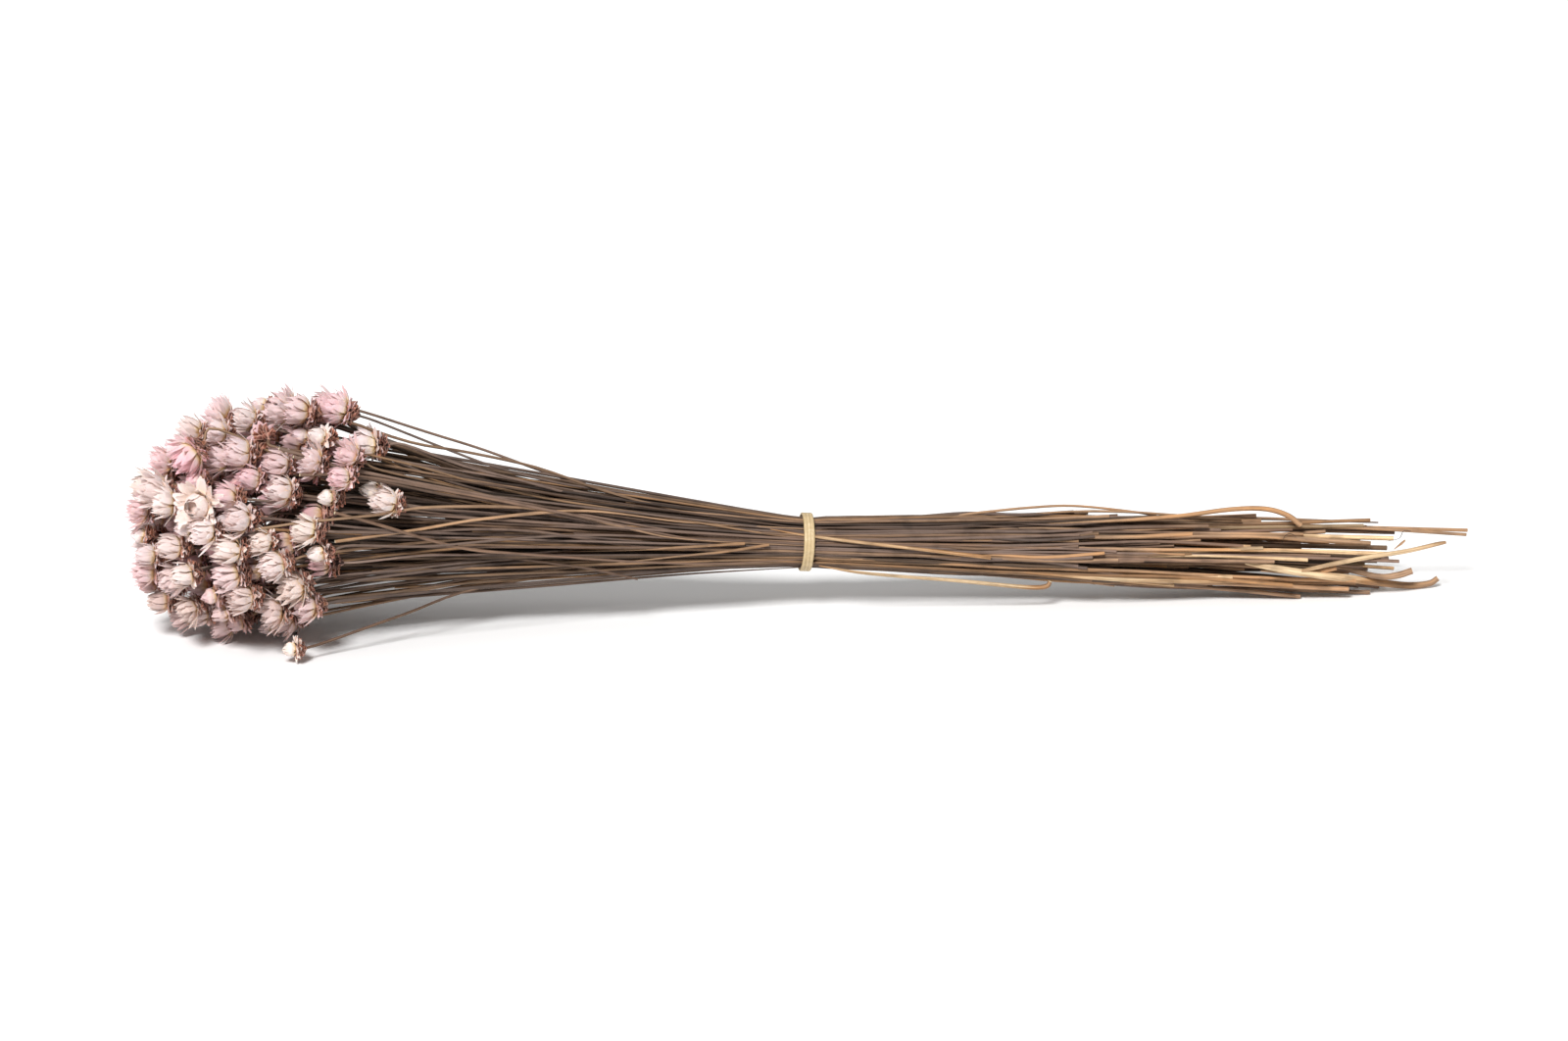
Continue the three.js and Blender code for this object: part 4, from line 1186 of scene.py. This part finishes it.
@dataclass
class Stems:
    """All the stems that run through the band: one to each flower, and some that have lost theirs."""

    bunch: Bunch
    maker: StemMaker
    material: bpy.types.Material
    head_radius: float = 0.52
    band_radius: float = 0.48
    end_radius: float = 0.8
    slot_reach: float = 9.4
    slot_gap: float = 1.22
    slot_rounds: int = 50
    slot_turn: float = math.radians(20)
    cut_ends: tuple[float, float] = (100.0, 224.0)
    end_rarity: float = 2.8
    end_spread: float = 0.38 / 174
    broken: int = 166
    broken_slots: tuple[float, float] = (0.6, 1.0)
    broken_shares: tuple[float, float, float] = (0.97, 0.7, 2.4)
    broken_widening: tuple[float, float] = (0.8, 3.2)
    head_distance: float = 190.0
    slot_power: float = 0.8
    slot_spread: tuple[float, float] = (0.8, 1.1)
    slot_shrink: tuple[float, float] = (0.9, 1.0)
    clumps: int = 12
    clump_reach: tuple[float, float] = (0.2, 1.0)
    drift_spread: tuple[float, float] = (2.4, 3.2)
    highest_drift: float = 1.5
    wander: float = 0.8
    drift_power: float = 1.6
    wave: float = 2.3
    wave_turns: tuple[float, float] = (4.5, 9.0)
    neck_power: tuple[float, float, float] = (2.5, 0.7, 38.0)
    power_spread: float = 0.3
    stoutness: tuple[float, float] = (0.8, 1.18)
    ripening: tuple[float, float] = (0.1, 0.65)
    ripens: tuple[float, float] = (70.0, 200.0)
    ripest: float = 0.92
    lightness: tuple[float, float] = (0.45, 0.29)
    light_range: tuple[float, float] = (0.03, 0.9)
    slots: list[Vector] = field(default_factory=list)
    drifts: list[tuple[Vector, Vector]] = field(default_factory=list)

    HUES = [0.02, 0.2, 0.42, 0.6]
    HUE_SHARES = [5, 4, 4, 1.5]
    HUE_SPREAD = 0.05
    SHARES_BEHIND = (1.0, 0.8, 0.6, 0.4, 0.2)
    SHARES_AHEAD = (0.14, 0.28, 0.42, 0.56, 0.7, 0.82)
    UNDER_BAND = 8
    STRAIGHT_FOOT = 7
    FOOT_SINK = 0.4
    CLEARANCE = 0.1
    THICK_END = 200
    THICK_NECK = 180

    def choose_slots(self, heads: list[Head], rng: random.Random) -> None:
        """Gives each stem its place under the band, then lets them press each other apart."""
        far = max(self.bunch.offset(head.foot).length for head in heads)
        wanted = []
        for head in heads:
            offset = self.bunch.offset(head.foot)
            turn = Matrix.Rotation(rng.gauss(0, self.slot_turn), 2)
            reach = (offset.length / far) ** self.slot_power * rng.uniform(*self.slot_spread)
            reach = min(1.0, reach)
            wanted.append(turn @ offset.normalized() * self.slot_reach * reach)
        for _ in range(self.broken):
            angle = rng.uniform(-math.pi, math.pi)
            reach = self.slot_reach * rng.uniform(*self.broken_slots)
            wanted.append(Vector((-math.cos(angle), math.sin(angle))) * reach)
        self.slots = wanted
        for _ in range(self.clumps):
            angle = rng.uniform(-math.pi, math.pi)
            way = Vector((math.cos(angle), math.sin(angle)))
            middle = way * self.slot_reach * rng.uniform(*self.clump_reach)
            sideways = rng.gauss(0, self.drift_spread[0])
            upwards = min(self.highest_drift, rng.gauss(0, self.drift_spread[1]))
            self.drifts.append((middle, Vector((sideways, upwards))))
        for _ in range(self.slot_rounds):
            for i, a in enumerate(self.slots):
                for b in self.slots[i + 1 :]:
                    between = b - a
                    distance = max(between.length, 1e-4)
                    if distance < self.slot_gap:
                        push = between * (0.5 * (self.slot_gap - distance) / distance)
                        a -= push
                        b += push
            for slot in self.slots:
                if slot.length > self.slot_reach:
                    slot *= self.slot_reach / slot.length

    def behind(self, slot: Vector, cut_end: float, rng: random.Random) -> list[Vector]:
        """The way from the cut end to the band, where the bunch widens and the stems wander."""
        line = []
        drift = min(self.drifts, key=lambda clump: (clump[0] - slot).length)[1]
        drift = drift + Vector((rng.gauss(0, self.wander), rng.gauss(0, self.wander)))
        for share in self.SHARES_BEHIND:
            x = cut_end * share
            wide = slot * (1 + self.end_spread * x)
            wander = Vector((rng.gauss(0, self.wander), rng.gauss(0, self.wander))) * share
            point = self.bunch.point(x, wide + drift * share**self.drift_power + wander)
            point.z = max(point.z, self.end_radius + self.CLEARANCE)
            line.append(point)
        return line

    def ahead(self, slot: Vector, foot: Vector, power: float, rng: random.Random) -> list[Vector]:
        """The way from the band towards a flower's foot, spreading more the nearer it comes."""
        line = []
        offset = self.bunch.offset(foot)
        phase = rng.uniform(0, 2 * math.pi)
        lean = rng.uniform(0, 2 * math.pi)
        size = abs(rng.gauss(0, self.wave))
        turns = rng.uniform(*self.wave_turns)
        for share in self.SHARES_AHEAD:
            wave = math.sin(math.pi * share) * size * math.sin(phase + turns * share)
            place = slot + (offset - slot) * share**power
            place += Vector((math.cos(lean), math.sin(lean))) * wave
            line.append(self.bunch.point(foot.x * share, place))
        return line

    def strand(self, slot: Vector, head: Head | None, rng: random.Random) -> Strand:
        """Works out a whole stem from its cut end to its flower, or to where it broke off."""
        low, high = self.cut_ends
        cut_end = low + (high - low) * rng.random() ** self.end_rarity
        slot = slot * rng.uniform(*self.slot_shrink)
        line = self.behind(slot, cut_end, rng)
        line += self.under_band(slot)
        if head:
            offset = self.bunch.offset(head.foot)
            most, less, reach = self.neck_power
            power = most - less * min(1.0, offset.length / reach) + rng.gauss(0, self.power_spread)
            line += self.ahead(slot, head.foot, power, rng)
            line.append(head.foot - head.facing * self.STRAIGHT_FOOT)
            line.append(head.foot + head.facing * self.FOOT_SINK)
        else:
            most, less, power = self.broken_shares
            share = most - less * rng.random() ** power
            widening = 1 + rng.uniform(*self.broken_widening) * share**2
            foot = self.bunch.point(-self.head_distance * share, slot * widening)
            line += [line[-1].lerp(foot, 0.5), foot]
        points = through(line, 4)
        stout = rng.uniform(*self.stoutness)
        radii = [self.radius_at(point.x) * stout for point in points]
        base = self.hue(rng)
        rise = rng.uniform(*self.ripening)
        hues = [min(self.ripest, base + rise * smooth(point.x, *self.ripens)) for point in points]
        low, high = self.light_range
        light = min(high, max(low, rng.gauss(*self.lightness)))
        return Strand(points, radii, hues, light=light)

    def under_band(self, slot: Vector) -> list[Vector]:
        """The two points on either side of the band."""
        return [self.bunch.point(x, slot) for x in (self.UNDER_BAND, -self.UNDER_BAND)]

    def radius_at(self, x: float) -> float:
        """How thick a stem is along the bunch."""
        radius = self.end_radius if x > 0 else self.head_radius
        share = x / self.THICK_END if x > 0 else -x / self.THICK_NECK
        return self.band_radius + (radius - self.band_radius) * min(1.0, share)

    def hue(self, rng: random.Random) -> float:
        """Draws a stem's colour, most of them grey-brown and a few ochre."""
        kind = rng.choices(self.HUES, weights=self.HUE_SHARES)[0]
        return max(0.0, kind + rng.gauss(0, self.HUE_SPREAD))

    def sector(self, slot: Vector) -> int:
        """Which of the CAD's three thirds a slot is in."""
        angle = math.degrees(math.atan2(slot[1], -slot[0]))
        return int(((angle + 60 + 360) % 360) // 120)

    def build(self, heads: list[Head], special: list[Strand]) -> None:
        """Makes a piece for each third of the stems.

        Args:
            heads: the flowers that the stems run to.
            special: stems with a way of their own, which go with the front third.
        """
        rng = random.Random(37)
        self.choose_slots(heads, rng)
        thirds = [Piece(f"stalks_{k + 1}", [self.material]) for k in range(3)]
        owners: list[Head | None] = [*heads, *[None] * self.broken]
        for slot, head in zip(self.slots, owners):
            if head and is_dropped(head):
                strand = dropped_strand(self, slot, head, rng)
            else:
                strand = self.strand(slot, head, rng)
            thirds[self.sector(slot)].add_once(self.maker.build(strand), Matrix.Identity(4))
        for strand in special:
            thirds[0].add_once(self.maker.build(strand), Matrix.Identity(4))
        for k, piece in enumerate(thirds):
            piece.finish(self.bunch.place, "stems", [f"stems_{k + 1}"])


DROPPED_PLACE = Vector((-194.5, -36.5, 5.7))
DROPPED_WAY = [(-66, -5.6, 22), (-121, -11, 17.9), (-150, -21, 12.2), (-179, -31, 6.2)]
DROPPED_HUE = 0.3
DROPPED_LIGHT = 0.6


def is_dropped(head: Head) -> bool:
    """Whether this is the flower that lies in front of the ball."""
    return (head.middle - DROPPED_PLACE).length < 5


def dropped_strand(stems: Stems, slot: Vector, head: Head, rng: random.Random) -> Strand:
    """The stem of the flower that has dropped out of the ball."""
    line = stems.behind(slot, stems.cut_ends[0], rng)
    line += stems.under_band(slot)
    line += [Vector(p) for p in DROPPED_WAY]
    line.append(head.foot + head.facing * stems.FOOT_SINK)
    points = through(line, 5)
    radii = [stems.radius_at(point.x) for point in points]
    return Strand(points, radii, [DROPPED_HUE] * len(points), light=DROPPED_LIGHT)


@dataclass(frozen=True)
class Loose:
    """A stem with a way of its own behind the band, from under the band to its free end."""

    way: tuple[tuple[float, float, float], ...]
    radii: tuple[float, ...]
    hues: tuple[float, ...]
    light: float = 0.75
    flat: float = 1.0

    BURIED = 0.3

    def strand(self) -> Strand:
        """Turns it round, so that it starts at the free end."""
        points = through([Vector(p) for p in self.way], 6)[::-1]
        buried = self.BURIED * self.radii[0]
        radii = spread_values((buried, *self.radii)[::-1], len(points))
        hues = spread_values(self.hues[::-1], len(points))
        return Strand(points, radii, hues, self.light, 0.0, flat=self.flat)


LOOSE_STEMS = [
    # stray stems over the top, behind the band
    Loose(((20, 0.5, 34.6), (50, 1.6, 34), (65, 2, 35.2), (83, 2, 36.4), (99.5, 2, 36.5), (119.4, 2, 33.8),
           (131, 2, 31.5)), (0.55, 0.5, 0.45, 0.45), (0.5, 0.6, 0.7)),
    Loose(((60, 1, 33.5), (95, 1, 34.6), (118, 1, 33.8), (140, 1, 31.5)), (0.5, 0.45), (0.5, 0.6)),
    Loose(((60, -3, 32), (110, -4, 32), (137, -4, 32.8), (157, -4, 34.7), (170, -4.5, 34.7),
           (178.5, -5, 32.2), (184, -5.6, 28.1)), (0.8, 0.9, 1.0, 1.1), (0.5, 0.7, 0.72, 0.6), 0.85),
    Loose(((120, 2, 28.5), (166.7, 2, 26.6), (210.3, 2, 23.7), (248.4, 2, 21.1)),
          (0.75, 0.7, 0.65, 0.68), (0.4, 0.6, 0.65), 0.85),
    Loose(((120, -1, 29), (166.3, -1, 27.2), (210, -1, 24.3), (247.4, -1, 20.4)),
          (0.75, 0.7, 0.65, 0.62), (0.4, 0.5, 0.6), 0.75),
    Loose(((120, 4, 30), (167, 4, 28.3), (192.4, 4, 26.5), (215, 4, 24.8)),
          (0.7, 0.6, 0.45, 0.3), (0.4, 0.5, 0.1)),
    Loose(((120, -8, 27), (165, -9, 25.6), (187, -9, 23.2), (207.8, -9, 21.3)),
          (0.7, 0.75, 0.75, 0.75), (0.5, 0.65, 0.6), 0.85),
    # the pale sheath with a split tip, and the stems under it
    Loose(((168, -12.6, 13.2), (180, -15.4, 13.2), (194, -15.4, 15.7), (208.6, -14, 17.5),
           (223, -12.6, 18.8), (234, -12, 20.8), (237.5, -12, 21.4)), (1.0, 1.4, 1.5, 1.4, 1.3, 0.9),
          (0.8, 0.92, 0.96, 0.92, 0.85), 0.62, 0.55),
    Loose(((120, -6, 19), (165.7, -6, 15.1), (184, -6, 12.5), (207.5, -6, 10.4)),
          (0.8, 0.9, 0.95, 0.95), (0.3, 0.35, 0.25), 0.6),
    Loose(((140, -8, 16), (175, -9, 13), (198, -9, 11.7), (212.6, -9, 8.1), (219.8, -9, 8.2),
           (225.6, -9, 9.8)), (0.9, 0.95, 1.1, 1.3, 1.3), (0.4, 0.45, 0.5, 0.5), 0.75),
    Loose(((138, -1, 16), (155, -6, 16.8), (172, -14.2, 14.8), (186, -15.2, 12.2), (200, -11.5, 8.8),
           (210, -7, 5.6), (224.5, -2, 1.8), (233.5, -1, 1.8), (237, -1, 3.8)),
          (1.1, 1.35, 1.5, 1.45, 1.35, 1.2, 1.1), (0.8, 0.95, 0.97, 0.92, 0.72, 0.62, 0.56), 0.62),
    Loose(((70, -8, 16), (105, -12, 12.8), (128, -11.5, 10.6), (165, -9, 8), (205, -6, 5)),
          (0.7, 0.85, 0.9, 0.8), (0.7, 0.97, 0.85, 0.6), 0.56),
    Loose(((120, 3, 10), (150, 3.5, 6), (167, 4, 4.2), (186, 4.5, 1.5)), (0.9, 0.95), (0.4, 0.5, 0.3), 0.6),
    Loose(((140, 1.5, 8), (180, 1.2, 3.4), (203, 1, 2.2), (218, 1, 0.9)), (0.8, 0.7, 0.5), (0.5, 0.4)),
    # the curl under the front and the hollow cut end on it
    Loose(((4, -7.6, 20.2), (16.7, -9.6, 18.0), (32.2, -9.8, 15.8), (54.4, -9.6, 13.1), (74, -9.3, 10.2),
           (84, -9, 9), (88.6, -9, 9.4), (89.8, -9, 11.1)),
          (0.6, 0.65, 0.75, 0.85, 0.95, 0.8), (0.8, 0.97, 0.97, 0.95, 0.72, 0.64), 0.56),
    Loose(((-14, -7.4, 35), (0, -8.2, 32.2), (21, -11, 29.4), (45, -12.4, 26), (67, -13.2, 22.6)),
          (0.6, 0.65, 0.75), (0.7, 0.92, 0.86, 0.78), 0.6),
    # two broken ends in front of the band
    Loose(((-104, -12, 31), (-66, -14, 31.2), (-45.8, -13.4, 31.3), (-24, -12.2, 31.4)),
          (0.45, 0.55), (0.5, 0.68), 0.55),
    Loose(((-98, -13, 24), (-46, -13.4, 28), (-31.2, -12.6, 28.7), (-15, -11.6, 30.4)),
          (0.45, 0.55), (0.5, 0.68), 0.55),
    # stems over and under the neck
    Loose(((0, -7.5, 31.5), (-30, -9, 33), (-60, -11, 39), (-119, -17.4, 55), (-145, -21.6, 62.4),
           (-168, -26, 69.6), (-195, -28, 79.5)), (0.65, 0.65), (0.12, 0.18), 0.9),
    Loose(((0, -8, 29.5), (-30, -9.6, 31), (-60, -12, 37), (-126.5, -18.6, 56), (-153, -23.6, 65),
           (-190, -29, 76.4)), (0.65, 0.62), (0.05, 0.12), 0.85),
    Loose(((0, -8.3, 28), (-40, -11.6, 33), (-90, -17, 47), (-130, -21.5, 58), (-168, -28, 68),
           (-188, -32.6, 70.6)), (0.6, 0.6), (0.2, 0.25), 0.9),
    Loose(((0, -9, 28.5), (-46, -13.2, 34.3), (-68, -14.8, 40), (-100.8, -17.6, 49.5), (-140, -27, 54.7),
           (-159, -33.6, 54.8), (-188, -42, 55.6), (-205, -40, 53)), (0.6, 0.45), (0.45, 0.5), 0.7),
    Loose(((0, -6.5, 34.2), (-45, -9.4, 39.5), (-82.4, -14, 46.8), (-120, -23, 48.3), (-148, -29.4, 46.8),
           (-176, -38, 46.6)), (0.6, 0.6), (0.5, 0.6), 0.85),
    Loose(((0, -9.4, 23.5), (-46, -13.8, 25), (-109, -22.4, 34.2), (-132.6, -26.6, 39.5),
           (-161, -34.6, 51.6), (-176, -38.4, 57.7)), (0.6, 0.6), (0.25, 0.3), 0.9),
    Loose(((0, -5.5, 19.2), (-45, -7.8, 19), (-95, -8, 16.8), (-132, -8, 15.2), (-172, -8, 13.4)),
          (0.55, 0.6), (0.2, 0.25), 0.45),
    Loose(((-120, -17, 32), (-100, -17, 29), (-81, -16.4, 25.2), (-63.9, -15.6, 20.3)),
          (0.5, 0.35), (0.25, 0.3), 0.6),
    # a broken branch and some wiry threads among the cut ends
    Loose(((184, -13.4, 11.3), (190, -14, 12.6), (196, -14.2, 13.8)), (0.8, 1.0, 0.9), (0.62, 0.7), 0.85),
    Loose(((218, -12, 19.4), (220.5, -12.4, 21.6), (222, -12.6, 23)), (0.9, 0.7), (0.6, 0.66), 0.75, 0.5),
    Loose(((176, -10, 22), (177, -10.4, 25.4), (179, -10.6, 26.6), (181.4, -10.4, 25.4)), (0.14, 0.14),
          (0.2, 0.2), 0.1),
    Loose(((216, -6, 20.6), (221, -6, 21.6), (222.6, -6, 24.4), (225.4, -6, 24.2)), (0.14, 0.14),
          (0.2, 0.2), 0.3),
]


@dataclass
class RubberBand:
    """The band round the neck: a flat ring with rounded edges and two shallow grooves."""

    bunch: Bunch
    material: bpy.types.Material
    inner: float = 9.9
    thickness: float = 0.85
    width: float = 3.95
    groove: float = 0.16
    groove_place: float = 0.33
    groove_edge: float = 0.09
    corner: float = 0.25
    flat_share: float = 0.86
    lift: float = 0.13
    tilt: float = math.radians(4)
    steps: int = 120

    def profile(self) -> list[Vector]:
        """The cross-section, as (along the bunch, out from its middle)."""
        half = self.width / 2
        outer = self.inner + self.thickness
        middle = self.groove_place
        edge = self.groove_edge
        shares = [0.0, middle - edge, middle, middle + edge, 0.6, self.flat_share]
        top = []
        for share in [*[-share for share in shares[:0:-1]], *shares]:
            sunk = self.groove if abs(share) == middle else 0.0
            top.append(Vector((half * share, outer - sunk)))
        side = [Vector((half, outer - self.corner)), Vector((half, self.inner + self.corner))]
        right = [*side, Vector((half * self.flat_share, self.inner))]
        left = [Vector((-point.x, point.y)) for point in right[::-1]]
        return [*left[1:], *top, *right, left[0]]

    def build(self) -> None:
        """Spins the cross-section round the bunch and lets it follow the stems a little."""
        piece = Piece("tan_band", [self.material])
        bm = piece.bm
        grain = bm.verts.layers.float_vector["grain"]
        tone = bm.verts.layers.float_color["tone"]
        section = [bm.verts.new((p[0], 0, p[1])) for p in self.profile()]
        edges = [bm.edges.new((a, b)) for a, b in zip(section, [*section[1:], section[0]])]
        turn = {"axis": (1, 0, 0), "cent": (0, 0, 0), "angle": 2 * math.pi, "steps": self.steps}
        bmesh.ops.spin(bm, geom=[*section, *edges], use_merge=True, **turn)
        bmesh.ops.recalc_face_normals(bm, faces=bm.faces[:])
        for vert in bm.verts:
            out = Vector((0, vert.co.y, vert.co.z))
            radius = out.length
            angle = math.atan2(vert.co.y, vert.co.z)
            outside = radius > self.inner + self.thickness / 2
            sunk = self.inner + self.thickness - radius
            groove = smooth(sunk, 0.05, self.groove) if outside else 0.0
            vert[grain] = (vert.co.x, radius, angle * radius)
            # the first tone marks the grooves, which the rubber's material darkens as painted shade
            vert[tone] = (groove, 0.0, 0.0, 1.0)
            ripple = 0.07 * math.sin(19 * angle) + 0.06 * math.sin(31 * angle + 1)
            vert.co += out.normalized() * ripple
            vert.co.x += 0.05 * math.sin(3 * angle) + 0.02 * math.sin(11 * angle)
        middle = Matrix.Translation((0, 0, self.bunch.BAND_HEIGHT + self.lift))
        bmesh.ops.transform(bm, matrix=middle @ Matrix.Rotation(self.tilt, 4, "Y"), verts=bm.verts[:])
        piece.finish(self.bunch.place, "band", ["rubber_band"])


@dataclass(frozen=True)
class Studio:
    """A white table, soft light from above and behind, and the camera."""

    floor_size: float = 8.0
    front_strength: float = 3.75
    front_angle: float = math.radians(16)
    front_way: tuple[float, float] = (46.0, -24.0)
    top_strength: float = 0.35
    top_angle: float = math.radians(70)
    top_way: tuple[float, float] = (-15.0, 0.0)
    sky_strength: float = 0.33
    azimuth: float = math.radians(-7)
    elevation: float = math.radians(18)
    lens: float = 200.0
    pixel: float = 0.3605
    picture_width: int = 1600
    target: tuple[float, float, float] = (-8.0, 0.0, 35.7)

    def build(self, bunch: Bunch) -> None:
        """Sets up the floor, the light and the camera."""
        self.floor()
        self.light()
        self.camera(bunch)
        bpy.context.scene.view_settings.view_transform = "Standard"

    def floor(self) -> None:
        """A matt white table that fades into the background."""
        bm = bmesh.new()
        bmesh.ops.create_grid(bm, x_segments=1, y_segments=1, size=self.floor_size / 2)
        mesh = bpy.data.meshes.new("table_top")
        bm.to_mesh(mesh)
        bm.free()
        material = bpy.data.materials.new("white_table")
        material.use_nodes = True
        shader = material.node_tree.nodes["Principled BSDF"]
        shader.inputs["Base Color"].default_value = (0.97, 0.97, 0.97, 1)
        shader.inputs["Roughness"].default_value = 0.9
        shader.inputs["Specular IOR Level"].default_value = 0.1
        mesh.materials.append(material)
        table = bpy.data.objects.new("table_top", mesh)
        table.location.z = -0.0001
        bpy.context.scene.collection.objects.link(table)
        table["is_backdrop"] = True

    def light(self) -> None:
        """A softbox in front, a broader one overhead and an even white sky."""
        lamps = [
            ("front_light", self.front_strength, self.front_angle, self.front_way),
            ("top_light", self.top_strength, self.top_angle, self.top_way),
        ]
        for name, strength, spread, (tip, turn) in lamps:
            sun = bpy.data.lights.new(name, "SUN")
            sun.energy = strength
            sun.angle = spread
            lamp = bpy.data.objects.new(name, sun)
            lamp.rotation_euler = (math.radians(tip), 0, math.radians(turn))
            bpy.context.scene.collection.objects.link(lamp)
        world = bpy.data.worlds.new("white_room")
        world.use_nodes = True
        tree = Tree(world.node_tree)
        seen = tree.add("Background")
        cast = tree.add("Background")
        seen.inputs["Strength"].default_value = 1.0
        seen.inputs["Color"].default_value = (1, 1, 1, 1)
        cast.inputs["Color"].default_value = (1.0, 0.985, 0.965, 1)
        cast.inputs["Strength"].default_value = self.sky_strength
        either = tree.add("MixShader")
        tree.feed(either.inputs[0], tree.add("LightPath").outputs["Is Camera Ray"])
        tree.feed(either.inputs[1], cast.outputs[0])
        tree.feed(either.inputs[2], seen.outputs[0])
        tree.feed(tree.add("OutputWorld").inputs["Surface"], either.outputs[0])
        bpy.context.scene.world = world

    def camera(self, bunch: Bunch) -> None:
        """Aims the camera at what the middle of the photograph shows."""
        width = self.picture_width * self.pixel
        lens = bpy.data.cameras.new("camera")
        lens.lens = self.lens
        lens.sensor_width = 36.0
        distance = width * self.lens / 36.0 * MM
        target = bunch.place.to_frame @ Vector(self.target)
        back = Vector(
            (
                math.sin(self.azimuth) * math.cos(self.elevation),
                -math.cos(self.azimuth) * math.cos(self.elevation),
                math.sin(self.elevation),
            )
        )
        camera = bpy.data.objects.new("camera", lens)
        camera.location = target + back * distance
        camera.rotation_mode = "QUATERNION"
        camera.rotation_quaternion = (-back).to_track_quat("-Z", "Y")
        bpy.context.scene.collection.objects.link(camera)
        bpy.context.scene.camera = camera


def main() -> None:
    """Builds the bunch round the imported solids."""
    logging.basicConfig(level=logging.INFO, format="%(name)s: %(message)s")
    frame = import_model()
    cad_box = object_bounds()
    bunch = Bunch(frame["nodes"], cad_box)
    LOG.info("found %d flower heads", len(bunch.heads))
    for make in (make_fibres, make_veins, make_blotches):
        make()
    bract = BractFinish().material()
    scale = ScaleFinish().material()
    stem = StemFinish().material()
    rubber = RubberFinish().material()
    inner = InnerHeads().place(bunch)
    Blooms(HeadMaker(), [bract, scale]).build(bunch, inner)
    Stems(bunch, StemMaker(), stem).build([*bunch.heads, *inner], [s.strand() for s in LOOSE_STEMS])
    RubberBand(bunch, rubber).build()
    Studio().build(bunch)


if __name__ == "__main__":
    main()
